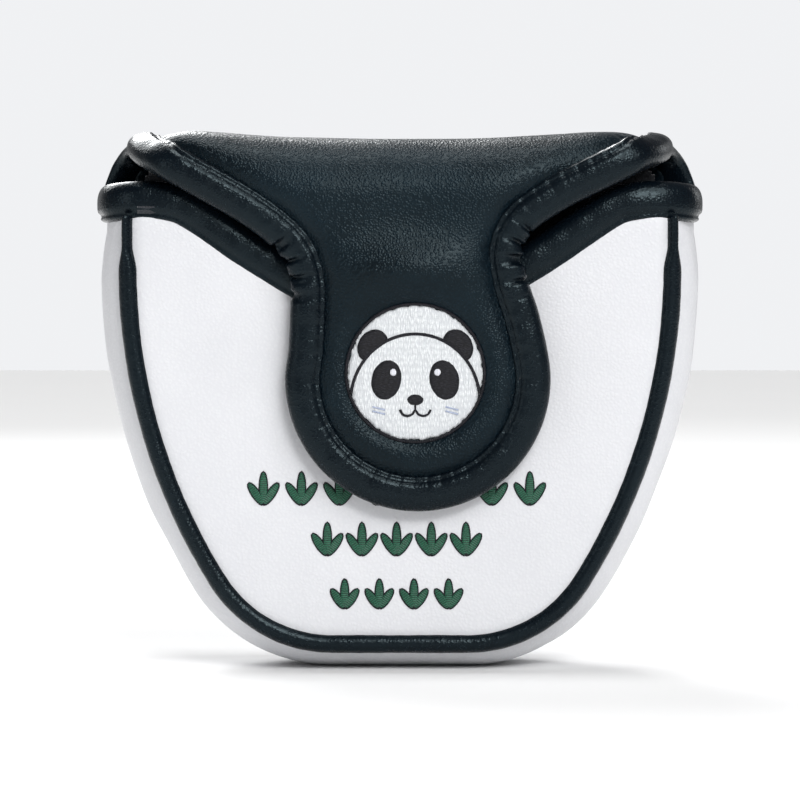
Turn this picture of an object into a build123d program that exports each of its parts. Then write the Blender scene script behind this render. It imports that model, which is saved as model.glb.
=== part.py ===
from build123d import *
import os

# A padded cover for a mallet putter head: a flat pouch with a bulged gusset, closed by
# a flap that wraps over its top and is held on the back by a magnet.
# X is the width, -Y the face side, +Y the closing side, +Z up. All sizes are millimetres.

# ---- Outline of the two panels, which is the centre line of the piping round them ----
FOOT_Z = 6.5  # height of the bottom run
FOOT_HALF = 16.0  # half length of the straight bottom run
CORNER_R = 32.0
CORNER_TURN = 58.0  # degrees that the bottom corner turns through
SIDE_R = 139.0  # slow curve of the sides, up to the vertical
TOP = 150.0  # well above the cover, where outlines are closed before they are cut

# ---- Depths of the layers, from the face side to the closing side ----
TRIM_Y = -24.0  # outermost embroidery
PATCH_Y = -23.4  # surface of the sewn-on white face
FRONT_Y = -22.4  # outside of the front leather
FRONT_FOAM_Y = -21.0
FRONT_LINING_Y = -18.0
POCKET_FRONT_Y = -15.5
POCKET_BACK_Y = 10.0
BACK_FOAM_Y = 12.5
BACK_LEATHER_Y = 15.5
BACK_Y = 17.0  # outside of the back leather
FLAP_INSIDE_Y = 18.2
FLAP_FOAM_Y = 19.7
FLAP_LEATHER_Y = 22.2
FLAP_Y = 23.2  # outside of the flap leather
BADGE_Y = 23.6
BACK_TRIM_Y = 24.0  # outside of the flap's binding and of the badge's details

# ---- Piping and gusset ----
PIPING_R = 2.1
PANEL_INSET = 2.2  # the panels end beside the piping
LINING_INSET = 3.2
GUSSET_BULGE = 6.5
GUSSET_EDGE = 0.3  # how far the gusset's edges stand outside the outline
GUSSET_FLAT = 9.0  # half width of the gusset's level middle
GUSSET_INSIDE = -0.4
GUSSET_LINING = 2.6
SHOULDER_Z = 108.0  # top of the gusset

# ---- Mouth binding ----
BINDING_W = 7.8
MOUTH_Z = 112.0  # centre line of the binding at the shoulders
MOUTH_BEND_X = 55.0
MOUTH_DIP_Z = 78.0  # where the two slopes would meet
MOUTH_REACH = 72.5  # half width of the whole cover
BINDING_FRONT_Y = 9.6
BINDING_BACK_Y = 17.6
BAR_INSIDE_X = 62.3

# ---- Flap ----
FOLD_Z = 116.0  # top of the front panel, where the flap's fold starts
FOLD_GAP = 0.3
CROWN_Z = 125.0
CROWN_R = 8.6
PEAK_Z = 128.5  # top of the binding at the corners
PEAK_R = 12.0
PEAK_UNDER_Z = 120.3
PEAK_UNDER_R = 4.0
CROWN_LEATHER_T = 1.4
CROWN_FOAM_T = 2.5
CROWN_PAD_T = 5.4  # leather, foam and lining together
CROWN_SPLIT = 2.0  # in front of this far forward of Y = 0, the flap is as wide as its corners
FLAP_HALF = 65.0
FLAP_BINDING = 8.2
TONGUE_X = -4.2  # the tongue hangs a little to one side
TONGUE_Z = 69.5
TONGUE_R = 31.3
NECK_HALF = 26.3
NECK_X = -2.0
NECK_Z = 103.0
SLOPE_Z = 118.5  # lower edge of the flap at its corners
NECK_FILLET = 6.0

# ---- Magnets ----
MAGNET_Z = 66.0
MAGNET_R = 9.0
MAGNET_T = 2.0

# ---- Face ----
FACE_CENTRE = (2.3, 45.0)
FACE_RADII = (54.0, 47.8)
FACE_INSET = 3.0
SATIN_W = 2.3  # satin stitch round the face
OUTLINE_W = 0.9  # satin stitch round the ears
LINE_W = 0.8  # run of the bamboo embroidery
EARS = {"left": (-29.0, 76.2, 17.7), "right": (34.0, 79.2, 16.8)}
EYES = {"left": (-21.6, 54.7, -17.0), "right": (26.6, 56.7, 17.0)}
EYE_RADII = (12.7, 16.0)
HIGHLIGHTS = {"left": (-16.0, 60.3), "right": (20.8, 61.5)}
HIGHLIGHT_RADII = (2.3, 3.0)
CHEEKS = {"left": (-29.0, 33.8), "right": (34.8, 36.0)}
CHEEK_RADII = (6.5, 3.75)
NOSE = (3.3, 40.0)
NOSE_RADII = (6.7, 3.55)
MOUTH_R = 6.0
MOUTH_W = 1.8
LIP_Z = 32.0
STALK_CENTRE = (0.2, 101.9)
STALK_SIZE = (33.7, 5.9)
STALK_TILT = -16.2
STALK_JOINTS = (-5.5, 6.0)  # along the stalk
LEAF_RADII = (1.9, 4.2)
LEAVES = (
    (-5.6, 109.2, 12),
    (-1.2, 110.2, -18),
    (1.6, 105.6, -75),
    (-12.6, 97.4, -30),
    (-8.6, 98.6, 12),
)

# ---- Leaf sprigs on the back: height, number across, spacing, half length of a leaf ----
SPRIG_ROWS = {
    "upper": (43.5, 8, 9.0, 4.0),
    "middle": (31.5, 5, 8.2, 4.0),
    "lower": (18.5, 4, 8.2, 3.6),
}
SPRIG_X = 0.8
SPRIG_LEAF_W = 0.95
SPRIG_FAN = {-34: 0.8, 0: 1.0, 34: 0.8}  # lean of each leaf, and its share of the length
SPRIG_T = 0.4

# ---- Badge on the flap ----
BADGE_X = -3.6
BADGE_Z = 71.1
BADGE_R = 15.6
BADGE_RIM = 0.7
BADGE_MARGIN = 0.6  # bare edge round the badge's picture
BADGE_GAP = 0.1  # between the head's line and the ears
BADGE_HEAD = (15.2, 16.0)
BADGE_HEAD_DROP = -6.8
BADGE_HEAD_END = -1.5  # the head's line stops here
BADGE_LINE = 0.8
BADGE_EAR = (10.0, 6.4)
BADGE_EAR_RADII = (3.3, 3.9)
BADGE_EAR_TILT = 35
BADGE_EYE = (6.9, -1.4)
BADGE_EYE_RADII = (3.6, 4.8)
BADGE_EYE_TILT = 12
BADGE_GLINT = (5.2, 0.4)
BADGE_GLINT_RADII = (0.8, 0.9)
BADGE_NOSE_DROP = -6.2
BADGE_NOSE_RADII = (2.0, 1.2)
BADGE_LIP = (1.8, -8.6)
BADGE_LIP_R = 2.0
BADGE_LIP_INNER_R = 1.3
BADGE_CHEEK = (8.6, -8.4)
BADGE_CHEEK_PITCH = 1.0
BADGE_CHEEK_RADII = (1.6, 0.35)

# ---- Cutting ----
BEYOND = 400.0  # reaches past the whole cover

# ---- Stitches ----
STITCH_L = 2.6
STITCH_W = 0.6
STITCH_T = 0.2
STITCH_PITCH = 3.6
STITCH_DROP = 2.2  # below the binding's centre line
STITCHES_FROM = 8
STITCHES_TO = 16
RING_STITCHES = 18


def keep(piece, name):
    """Label a finished piece and write its file."""
    piece.part.label = name
    export_step(piece.part, f"parts/{name}.step")


def panel_face(margin, top=TOP):
    """The panel outline grown by margin and cut level at top."""
    with BuildSketch() as face:
        with BuildLine():
            foot = Line((0, FOOT_Z), (FOOT_HALF, FOOT_Z))
            corner = JernArc(foot @ 1, foot % 1, CORNER_R, CORNER_TURN)
            side = JernArc(corner @ 1, corner % 1, SIDE_R, 90 - CORNER_TURN)
            rise = Line(side @ 1, ((side @ 1).X, TOP))
            Line(rise @ 1, (0, TOP))
            mirror(about=Plane.YZ)
        make_face()
        offset(amount=margin, kind=Kind.INTERSECTION)
        with Locations((0, top)):
            Rectangle(BEYOND, BEYOND, align=(Align.CENTER, Align.MIN), mode=Mode.SUBTRACT)
    return face.sketch


def mouth_line():
    """Centre line of the mouth's binding, from side to side."""
    return FilletPolyline(
        (-MOUTH_REACH, MOUTH_Z),
        (-MOUTH_BEND_X, MOUTH_Z),
        (0, MOUTH_DIP_Z),
        (MOUTH_BEND_X, MOUTH_Z),
        (MOUTH_REACH, MOUTH_Z),
        radius=(18, 24, 18),
    )


def mouth_band():
    """The mouth's binding as seen from the back."""
    with BuildSketch() as band:
        with BuildLine() as line:
            mouth_line()
        trace(line.line, line_width=BINDING_W)
    return band.sketch


def back_face(margin):
    """A back layer: the panel outline below the mouth's binding."""
    with BuildSketch() as face:
        add(panel_face(margin, SHOULDER_Z))
        with BuildSketch(mode=Mode.SUBTRACT):
            with BuildLine():
                rim = mouth_line()
                Polyline(rim @ 1, (MOUTH_REACH, TOP), (-MOUTH_REACH, TOP), rim @ 0)
            make_face()
        add(mouth_band(), mode=Mode.SUBTRACT)
    return face.sketch


def slab(face, front, back):
    """A plate with the given outline between two depths."""
    with BuildPart() as plate:
        with BuildSketch(Plane.XZ.offset(-back)):
            add(face)
        extrude(amount=back - front)
    return plate.part


def flap_face(inset):
    """The flap as seen from the back, with its edges moved in by inset."""
    with BuildSketch() as face:
        with Locations((TONGUE_X, TONGUE_Z)):
            Circle(TONGUE_R)
        with BuildLine():
            Polyline(
                (NECK_X - NECK_HALF, TONGUE_Z + 8),
                (NECK_X - NECK_HALF, NECK_Z),
                (-FLAP_HALF, SLOPE_Z),
                (-FLAP_HALF, TOP),
                (FLAP_HALF, TOP),
                (FLAP_HALF, SLOPE_Z),
                (NECK_X + NECK_HALF, NECK_Z),
                (NECK_X + NECK_HALF, TONGUE_Z + 8),
                close=True,
            )
        make_face()
        necks = [v for v in face.vertices() if abs(v.Y - NECK_Z) < 0.1]
        fillet(necks, NECK_FILLET)
        offset(amount=-inset, kind=Kind.INTERSECTION)
    return face.sketch


def hood(front, back, top, radius):
    """Filled side view of the flap's curve, from its front leg over the crown to the back."""
    with BuildSketch() as shape:
        with BuildLine():
            FilletPolyline(
                (front, 0), (front, top), (back, top), (back, 0), radius=(radius, radius)
            )
            Line((back, 0), (front, 0))
        make_face()
    return shape.sketch


def flap_layer(outer, inner, inset, rim_only=False):
    """The solid between two hoods, cut to the flap's outline, or to its rim of width inset."""
    layer_inset = 0 if rim_only else inset
    with BuildPart() as layer:
        with BuildSketch(Plane.YZ):
            add(hood(*outer))
            add(hood(*inner), mode=Mode.SUBTRACT)
            with Locations((0, FOLD_Z + FOLD_GAP)):
                Rectangle(BEYOND, BEYOND, align=(Align.MAX, Align.MAX), mode=Mode.SUBTRACT)
        extrude(amount=FLAP_HALF - layer_inset, both=True)
        with BuildSketch(Plane.XZ.offset(CROWN_SPLIT)):
            Rectangle(BEYOND, BEYOND)
            add(flap_face(layer_inset), mode=Mode.SUBTRACT)
        extrude(amount=-BEYOND, mode=Mode.SUBTRACT)
        if rim_only:
            with BuildSketch(Plane.XZ.offset(CROWN_SPLIT)):
                add(flap_face(inset))
            extrude(amount=-BEYOND, mode=Mode.SUBTRACT)
            with BuildSketch(Plane.XZ.offset(CROWN_SPLIT)):
                Rectangle(2 * (FLAP_HALF - inset), BEYOND)
            extrude(amount=BEYOND, mode=Mode.SUBTRACT)
    return layer.part


def ellipse_at(centre, radii, tilt=0, mode=Mode.ADD):
    """A tilted ellipse in the open sketch."""
    with Locations(Location((*centre, 0), (0, 0, tilt))):
        Ellipse(*radii, mode=mode)


def dome(margin):
    """The face's rounded outline, grown by margin and kept inside the front piping."""
    with BuildSketch() as face:
        ellipse_at(FACE_CENTRE, (FACE_RADII[0] + margin, FACE_RADII[1] + margin))
        add(panel_face(-FACE_INSET), mode=Mode.INTERSECT)
    return face.sketch


def sprig(foot, half_length):
    """Three leaves fanned out from one point, in the open sketch."""
    for tilt, share in SPRIG_FAN.items():
        with Locations(Location((*foot, 0), (0, 0, tilt))):
            with Locations((0, half_length * share)):
                Ellipse(SPRIG_LEAF_W, half_length * share)


def badge_point(x, z):
    """A place on the badge, from its centre, as seen from behind the cover."""
    return (BADGE_X + x, BADGE_Z + z)


os.makedirs("parts", exist_ok=True)

# ======================= Pouch =======================

with BuildPart() as front_panel:
    add(slab(panel_face(-PANEL_INSET, FOLD_Z), FRONT_Y, FRONT_FOAM_Y))
keep(front_panel, "front_panel")

with BuildPart() as front_foam:
    add(slab(panel_face(-PANEL_INSET, FOLD_Z), FRONT_FOAM_Y, FRONT_LINING_Y))
keep(front_foam, "front_foam")

with BuildPart() as front_lining:
    add(slab(panel_face(-LINING_INSET, FOLD_Z), FRONT_LINING_Y, POCKET_FRONT_Y))
keep(front_lining, "front_lining")

with BuildPart() as back_panel:
    add(slab(back_face(-PANEL_INSET), BACK_LEATHER_Y, BACK_Y))
keep(back_panel, "back_panel")

with BuildPart() as back_magnet:
    with BuildSketch(Plane.XZ.offset(-BACK_LEATHER_Y)):
        with Locations((TONGUE_X, MAGNET_Z)):
            Circle(MAGNET_R)
    extrude(amount=MAGNET_T)
keep(back_magnet, "back_magnet")

with BuildPart() as back_foam:
    add(slab(back_face(-PANEL_INSET), BACK_FOAM_Y, BACK_LEATHER_Y))
    add(back_magnet.part, mode=Mode.SUBTRACT)
keep(back_foam, "back_foam")

with BuildPart() as back_lining:
    add(slab(back_face(-LINING_INSET), POCKET_BACK_Y, BACK_FOAM_Y))
keep(back_lining, "back_lining")

# Beads of leather over a cord, sewn in between each panel and the gusset.
piping_ends = {
    "front_piping": FRONT_Y + PIPING_R,
    "back_piping": BACK_Y - PIPING_R,
}
for name, depth in piping_ends.items():
    with BuildPart() as piping:
        with BuildLine(Plane.XZ.offset(-depth)) as run:
            foot = Line((0, FOOT_Z), (FOOT_HALF, FOOT_Z))
            corner = JernArc(foot @ 1, foot % 1, CORNER_R, CORNER_TURN)
            side = JernArc(corner @ 1, corner % 1, SIDE_R, 90 - CORNER_TURN)
            Line(side @ 1, (side @ 1).X * Vector(1, 0, 0) + Vector(0, depth, SHOULDER_Z))
            mirror(about=Plane.YZ)
        with BuildSketch(Plane((0, depth, FOOT_Z), x_dir=(0, 1, 0), z_dir=(1, 0, 0))):
            Circle(PIPING_R)
        sweep(path=run.line)
    keep(piping, name)

gusset_front = FRONT_Y + 2 * PIPING_R
gusset_back = BACK_Y - 2 * PIPING_R
gusset_mid = (gusset_front + gusset_back) / 2
gusset_slope = (gusset_back - gusset_front) / 2 - GUSSET_FLAT
gusset_taper = Vector(0, 1, 0).get_angle(
    Vector(0, gusset_slope, GUSSET_BULGE - GUSSET_EDGE)
)

with BuildPart() as gusset:
    add(slab(panel_face(GUSSET_BULGE), gusset_mid - GUSSET_FLAT, gusset_mid + GUSSET_FLAT))
    for mid_edge, way in ((gusset_mid - GUSSET_FLAT, 1), (gusset_mid + GUSSET_FLAT, -1)):
        with BuildSketch(Plane.XZ.offset(-mid_edge)):
            add(panel_face(GUSSET_BULGE))
        extrude(amount=way * gusset_slope, taper=gusset_taper)
    with BuildSketch(Plane.XZ):
        add(panel_face(GUSSET_INSIDE))
    extrude(amount=BEYOND, both=True, mode=Mode.SUBTRACT)
    with Locations((0, 0, SHOULDER_Z)):
        Box(BEYOND, BEYOND, BEYOND, align=(Align.CENTER, Align.CENTER, Align.MIN), mode=Mode.SUBTRACT)
keep(gusset, "gusset")

with BuildPart() as gusset_lining:
    add(slab(panel_face(GUSSET_INSIDE, SHOULDER_Z), FRONT_LINING_Y, BACK_FOAM_Y))
    with BuildSketch(Plane.XZ):
        add(panel_face(GUSSET_INSIDE - GUSSET_LINING))
    extrude(amount=BEYOND, both=True, mode=Mode.SUBTRACT)
keep(gusset_lining, "gusset_lining")

# One padded roll: along the gusset's two ends, then down the V of the back panel.
bar_half = (MOUTH_REACH - BAR_INSIDE_X) / 2
with BuildPart() as mouth_binding:
    add(slab(mouth_band(), BINDING_FRONT_Y, BINDING_BACK_Y))
    for side in (-1, 1):
        with BuildSketch(Plane.XZ.offset(-BINDING_BACK_Y)):
            with Locations((side * (BAR_INSIDE_X + bar_half), MOUTH_Z)):
                Rectangle(2 * bar_half, BINDING_W)
        extrude(amount=BINDING_BACK_Y - FRONT_Y)
keep(mouth_binding, "mouth_binding")

# Run of stitches along the lower edge of each slope of the mouth's binding.
slope_line = Vector(MOUTH_BEND_X, MOUTH_Z - MOUTH_DIP_Z, 0)
slope_deg = Vector(1, 0, 0).get_angle(slope_line)
with BuildPart() as mouth_stitching:
    with BuildSketch(Plane.XZ.offset(-BINDING_BACK_Y)):
        for side in (-1, 1):
            slope = Location((0, MOUTH_DIP_Z, 0), (0, 0, 90 - side * (90 - slope_deg)))
            with Locations(slope):
                for i in range(STITCHES_FROM, STITCHES_TO):
                    with Locations((i * STITCH_PITCH, -side * STITCH_DROP)):
                        Rectangle(STITCH_L, STITCH_W)
    extrude(amount=-STITCH_T)
keep(mouth_stitching, "mouth_stitching")

# ---- Embroidered face on the front ----

with BuildPart() as face_patch:
    add(slab(dome(-SATIN_W), PATCH_Y, FRONT_Y))
keep(face_patch, "face_patch")

with BuildPart() as face_border:
    with BuildSketch(Plane.XZ.offset(-FRONT_Y)):
        add(dome(0))
        add(dome(-SATIN_W), mode=Mode.SUBTRACT)
    extrude(amount=FRONT_Y - PATCH_Y + 0.3)
keep(face_border, "face_border")

for side, (x, z, radius) in EARS.items():
    for name, outer, inner in (
        (f"ear_{side}", radius - OUTLINE_W, 0),
        (f"ear_{side}_outline", radius, radius - OUTLINE_W),
    ):
        with BuildPart() as ear:
            with BuildSketch(Plane.XZ.offset(-FRONT_Y)):
                with Locations((x, z)):
                    Circle(outer)
                    if inner:
                        Circle(inner, mode=Mode.SUBTRACT)
                add(dome(0.1), mode=Mode.SUBTRACT)
            extrude(amount=FRONT_Y - PATCH_Y - 0.2)
        keep(ear, name)

for side, (x, z, tilt) in EYES.items():
    with BuildPart() as eye:
        with BuildSketch(Plane.XZ.offset(-PATCH_Y)):
            ellipse_at((x, z), EYE_RADII, tilt)
            ellipse_at(HIGHLIGHTS[side], HIGHLIGHT_RADII, mode=Mode.SUBTRACT)
        extrude(amount=PATCH_Y - TRIM_Y)
    keep(eye, f"eye_{side}")

    with BuildPart() as highlight:
        with BuildSketch(Plane.XZ.offset(-PATCH_Y)):
            ellipse_at(HIGHLIGHTS[side], HIGHLIGHT_RADII)
        extrude(amount=PATCH_Y - TRIM_Y)
    keep(highlight, f"highlight_{side}")

    with BuildPart() as cheek:
        with BuildSketch(Plane.XZ.offset(-PATCH_Y)):
            ellipse_at(CHEEKS[side], CHEEK_RADII)
        extrude(amount=PATCH_Y - TRIM_Y)
    keep(cheek, f"cheek_{side}")

with BuildPart() as nose:
    with BuildSketch(Plane.XZ.offset(-PATCH_Y)):
        ellipse_at(NOSE, NOSE_RADII)
    extrude(amount=PATCH_Y - TRIM_Y)
keep(nose, "nose")

with BuildPart() as mouth:
    with BuildSketch(Plane.XZ.offset(-PATCH_Y)):
        for side in (-1, 1):
            with Locations((NOSE[0] + side * MOUTH_R, LIP_Z)):
                Circle(MOUTH_R + MOUTH_W / 2)
        for side in (-1, 1):
            with Locations((NOSE[0] + side * MOUTH_R, LIP_Z)):
                Circle(MOUTH_R - MOUTH_W / 2, mode=Mode.SUBTRACT)
        with Locations((NOSE[0], LIP_Z)):
            Rectangle(BEYOND, BEYOND, align=(Align.CENTER, Align.MIN), mode=Mode.SUBTRACT)
            Rectangle(MOUTH_W, NOSE[1] - LIP_Z, align=(Align.CENTER, Align.MIN))
        ellipse_at(NOSE, NOSE_RADII, mode=Mode.SUBTRACT)
    extrude(amount=PATCH_Y - TRIM_Y)
keep(mouth, "mouth")

with BuildPart() as bamboo_stalk:
    with BuildSketch(Plane.XZ.offset(-FRONT_Y)):
        with Locations(Location((*STALK_CENTRE, 0), (0, 0, STALK_TILT))):
            Rectangle(*STALK_SIZE)
            with Locations((0, 0)):
                Rectangle(
                    STALK_SIZE[0] - 2 * LINE_W, STALK_SIZE[1] - 2 * LINE_W, mode=Mode.SUBTRACT
                )
            for along in STALK_JOINTS:
                with Locations((along, 0)):
                    Rectangle(LINE_W, STALK_SIZE[1])
    extrude(amount=SPRIG_T)
keep(bamboo_stalk, "bamboo_stalk")

with BuildPart() as bamboo_leaves:
    with BuildSketch(Plane.XZ.offset(-FRONT_Y)):
        for x, z, tilt in LEAVES:
            ellipse_at((x, z), LEAF_RADII, tilt)
        for x, z, tilt in LEAVES:
            hollow = (LEAF_RADII[0] - LINE_W, LEAF_RADII[1] - LINE_W)
            ellipse_at((x, z), hollow, tilt, mode=Mode.SUBTRACT)
        with Locations(Location((*STALK_CENTRE, 0), (0, 0, STALK_TILT))):
            Rectangle(*STALK_SIZE, mode=Mode.SUBTRACT)
    extrude(amount=SPRIG_T)
keep(bamboo_leaves, "bamboo_leaves")

# ---- Leaf sprigs on the back panel ----

for row, (z, count, pitch, length) in SPRIG_ROWS.items():
    with BuildPart() as sprigs:
        with BuildSketch(Plane.XZ.offset(-BACK_Y)):
            for i in range(count):
                sprig((SPRIG_X + (i - (count - 1) / 2) * pitch, z - length), length)
        extrude(amount=-SPRIG_T)
    keep(sprigs, f"sprigs_{row}")

# ======================= Flap =======================

def hood_below(depth, back_y):
    """The hood that lies depth under the flap's leather on the front and the crown."""
    return (FRONT_Y + depth, back_y, CROWN_Z - depth, CROWN_R - depth)


leather_hood = hood_below(0, FLAP_Y)
foam_hood = hood_below(CROWN_LEATHER_T, FLAP_LEATHER_Y)
lining_hood = hood_below(CROWN_LEATHER_T + CROWN_FOAM_T, FLAP_FOAM_Y)
inside_hood = hood_below(CROWN_PAD_T, FLAP_INSIDE_Y)

with BuildPart() as flap_shell:
    add(flap_layer(leather_hood, foam_hood, FLAP_BINDING))
keep(flap_shell, "flap_shell")

with BuildPart() as flap_magnet:
    with BuildSketch(Plane.XZ.offset(-FLAP_LEATHER_Y)):
        with Locations((TONGUE_X, MAGNET_Z)):
            Circle(MAGNET_R)
    extrude(amount=MAGNET_T)
keep(flap_magnet, "flap_magnet")

with BuildPart() as flap_foam:
    add(flap_layer(foam_hood, lining_hood, FLAP_BINDING))
    add(flap_magnet.part, mode=Mode.SUBTRACT)
keep(flap_foam, "flap_foam")

with BuildPart() as flap_lining:
    add(flap_layer(lining_hood, inside_hood, FLAP_BINDING))
keep(flap_lining, "flap_lining")

binding_hood = (FRONT_Y, BACK_TRIM_Y, PEAK_Z, PEAK_R)
under_hood = (FRONT_Y + CROWN_PAD_T, FLAP_INSIDE_Y, PEAK_UNDER_Z, PEAK_UNDER_R)
with BuildPart() as flap_binding:
    add(flap_layer(binding_hood, under_hood, FLAP_BINDING, rim_only=True))
keep(flap_binding, "flap_binding")

# Stitches round the lower half of the tongue, beside its binding.
stitch_ring = TONGUE_R - FLAP_BINDING - STITCH_W
with BuildPart() as flap_stitching:
    with BuildSketch(Plane.XZ.offset(-FLAP_Y)):
        with Locations((TONGUE_X, TONGUE_Z)):
            with PolarLocations(stitch_ring, RING_STITCHES, start_angle=180, angular_range=180):
                Rectangle(STITCH_W, STITCH_L)
    extrude(amount=-STITCH_T)
keep(flap_stitching, "flap_stitching")

with BuildPart() as badge_disc:
    with BuildSketch(Plane.XZ.offset(-FLAP_Y)):
        with Locations((BADGE_X, BADGE_Z)):
            Circle(BADGE_R)
    extrude(amount=FLAP_Y - BADGE_Y)
keep(badge_disc, "badge_disc")

with BuildPart() as badge_rim:
    with BuildSketch(Plane.XZ.offset(-FLAP_Y)):
        with Locations((BADGE_X, BADGE_Z)):
            Circle(BADGE_R + BADGE_RIM)
            Circle(BADGE_R, mode=Mode.SUBTRACT)
    extrude(amount=FLAP_Y - BADGE_Y)
keep(badge_rim, "badge_rim")


def badge_features():
    """Outlines of the badge's details, by name, as seen from the front in the XZ plane."""
    head_centre = badge_point(0, BADGE_HEAD_DROP)
    with BuildSketch() as head:
        ellipse_at(head_centre, BADGE_HEAD)
        inner = (BADGE_HEAD[0] - BADGE_LINE, BADGE_HEAD[1] - BADGE_LINE)
        ellipse_at(head_centre, inner, mode=Mode.SUBTRACT)
        with Locations((BADGE_X, BADGE_Z)):
            Circle(BADGE_R - BADGE_MARGIN, mode=Mode.INTERSECT)
        with Locations(badge_point(0, BADGE_HEAD_END)):
            Rectangle(BEYOND, BEYOND, align=(Align.CENTER, Align.MAX), mode=Mode.SUBTRACT)
    with BuildSketch() as ears:
        for side in (-1, 1):
            ellipse_at(badge_point(side * BADGE_EAR[0], BADGE_EAR[1]), BADGE_EAR_RADII, side * BADGE_EAR_TILT)
        outer = (BADGE_HEAD[0] + BADGE_GAP, BADGE_HEAD[1] + BADGE_GAP)
        ellipse_at(head_centre, outer, mode=Mode.SUBTRACT)
        with Locations((BADGE_X, BADGE_Z)):
            Circle(BADGE_R - BADGE_MARGIN, mode=Mode.INTERSECT)
    with BuildSketch() as eyes:
        for side in (-1, 1):
            ellipse_at(badge_point(side * BADGE_EYE[0], BADGE_EYE[1]), BADGE_EYE_RADII, side * BADGE_EYE_TILT)
            glint = badge_point(side * BADGE_GLINT[0], BADGE_GLINT[1])
            ellipse_at(glint, BADGE_GLINT_RADII, mode=Mode.SUBTRACT)
    with BuildSketch() as highlights:
        for side in (-1, 1):
            ellipse_at(badge_point(side * BADGE_GLINT[0], BADGE_GLINT[1]), BADGE_GLINT_RADII)
    with BuildSketch() as small_nose:
        ellipse_at(badge_point(0, BADGE_NOSE_DROP), BADGE_NOSE_RADII)
    with BuildSketch() as small_mouth:
        lips = [badge_point(side * BADGE_LIP[0], BADGE_LIP[1]) for side in (-1, 1)]
        for lip in lips:
            ellipse_at(lip, (BADGE_LIP_R, BADGE_LIP_R))
        for lip in lips:
            ellipse_at(lip, (BADGE_LIP_INNER_R, BADGE_LIP_INNER_R), mode=Mode.SUBTRACT)
        with Locations(badge_point(0, BADGE_LIP[1])):
            Rectangle(BEYOND, BEYOND, align=(Align.CENTER, Align.MIN), mode=Mode.SUBTRACT)
    with BuildSketch() as cheeks:
        for side in (-1, 1):
            for drop in (0, BADGE_CHEEK_PITCH):
                ellipse_at(badge_point(side * BADGE_CHEEK[0], BADGE_CHEEK[1] - drop), BADGE_CHEEK_RADII)
    return {
        "badge_head": head,
        "badge_ears": ears,
        "badge_eyes": eyes,
        "badge_highlights": highlights,
        "badge_nose": small_nose,
        "badge_mouth": small_mouth,
        "badge_cheeks": cheeks,
    }


for name, shape in badge_features().items():
    with BuildPart() as detail:
        with BuildSketch(Plane.XZ.offset(-BADGE_Y)):
            add(shape.sketch)
        extrude(amount=BADGE_Y - BACK_TRIM_Y)
    keep(detail, name)
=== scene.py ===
import math

import bpy
import numpy as np
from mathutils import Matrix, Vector


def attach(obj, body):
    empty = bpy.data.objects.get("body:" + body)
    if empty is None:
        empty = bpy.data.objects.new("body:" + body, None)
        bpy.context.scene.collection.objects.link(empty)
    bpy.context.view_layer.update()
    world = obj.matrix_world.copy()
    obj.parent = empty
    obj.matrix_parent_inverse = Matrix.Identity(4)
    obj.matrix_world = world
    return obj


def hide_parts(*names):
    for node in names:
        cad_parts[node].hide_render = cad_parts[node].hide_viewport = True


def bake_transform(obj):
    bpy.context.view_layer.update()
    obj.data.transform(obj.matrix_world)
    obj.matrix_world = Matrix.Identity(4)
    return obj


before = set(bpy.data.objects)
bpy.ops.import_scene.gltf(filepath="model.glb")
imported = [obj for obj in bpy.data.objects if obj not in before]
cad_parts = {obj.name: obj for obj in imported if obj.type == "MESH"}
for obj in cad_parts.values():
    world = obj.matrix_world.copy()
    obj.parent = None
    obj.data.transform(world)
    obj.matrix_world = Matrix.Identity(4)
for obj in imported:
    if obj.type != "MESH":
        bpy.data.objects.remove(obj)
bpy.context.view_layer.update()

# A padded cover for a mallet putter head. Shapes are worked out in millimetres, in the
# frame's axes (X width, -Y face side, +Y closing side, Z up), and stored in metres.
MM = 0.001

# ---- Outline of the panels, as in the CAD model ----
FOOT_Z = 6.5
FOOT_HALF = 16.0
CORNER_R = 32.0
CORNER_TURN = math.radians(58)
SIDE_R = 139.0
SHOULDER_Z = 109.0

# ---- Depths of the surfaces ----
FRONT_Y = -22.0
BACK_Y = 16.6
FLAP_Y = 23.4
LEATHER_T = 1.3
CELL = 0.8  # spacing of the leather's mesh
FACE_CELL = 0.7  # and of the face patch's

# ---- Where each mesh grid starts and ends: across, and up or along ----
SKIN_START = (-68.0, FOOT_Z - 1.2)
BACK_START = (-67.2, 4.8)
BACK_STOP = (67.21, 115.2)
FACE_START = (-54.4, 5.0)
FACE_STOP = (59.2, 94.0)

# ---- The flap's side view: front face, crown, back leg ----
FRONT_BEND = 13.0
BACK_BEND = 12.0
CROWN_Z = 123.6
CROWN_RISE = 2.6  # how far the crown climbs towards its corners
CROWN_HALF = 57.0
SADDLE = 0.8  # how far the leather sinks where the tongue leaves the crown
SWELL = 2.7  # how far it swells where the tongue passes over the mouth's binding

# ---- Tongue and badge ----
TONGUE = (-4.2, 69.6)
TONGUE_PATH_R = 27.0
SEAM_R = 22.9
BADGE = (-3.6, 71.1)
BADGE_R = 15.9

# ---- Padded bindings: half width along the leather, half thickness ----
BINDING_A = 4.3
BINDING_B = 3.4
MOUTH_BINDING_A = 4.6
MOUTH_Y = 14.2
FLAP_ROLL_Y = 21.3
GROOVE_W = 0.6  # the groove that the stitching pulls into a binding
GROOVE_DEPTH = 0.85
GROOVE_MIN_B = 2.2  # a binding thinner than this has no groove
FLAP_GROOVE = 1.3  # how far the groove is inside the seam's edge
MOUTH_GROOVE = 1.5

# ---- Gusset: the white band round the U between the two pipings ----
GUSSET_MID = -2.7
GUSSET_HALF = 17.0
GUSSET_BULGE = 6.5
GUSSET_SIDE_BULGE = 0.7  # added where the band stands upright
GATHER = 1.5  # how much flatter the band lies where the mouth's binding holds it

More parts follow.
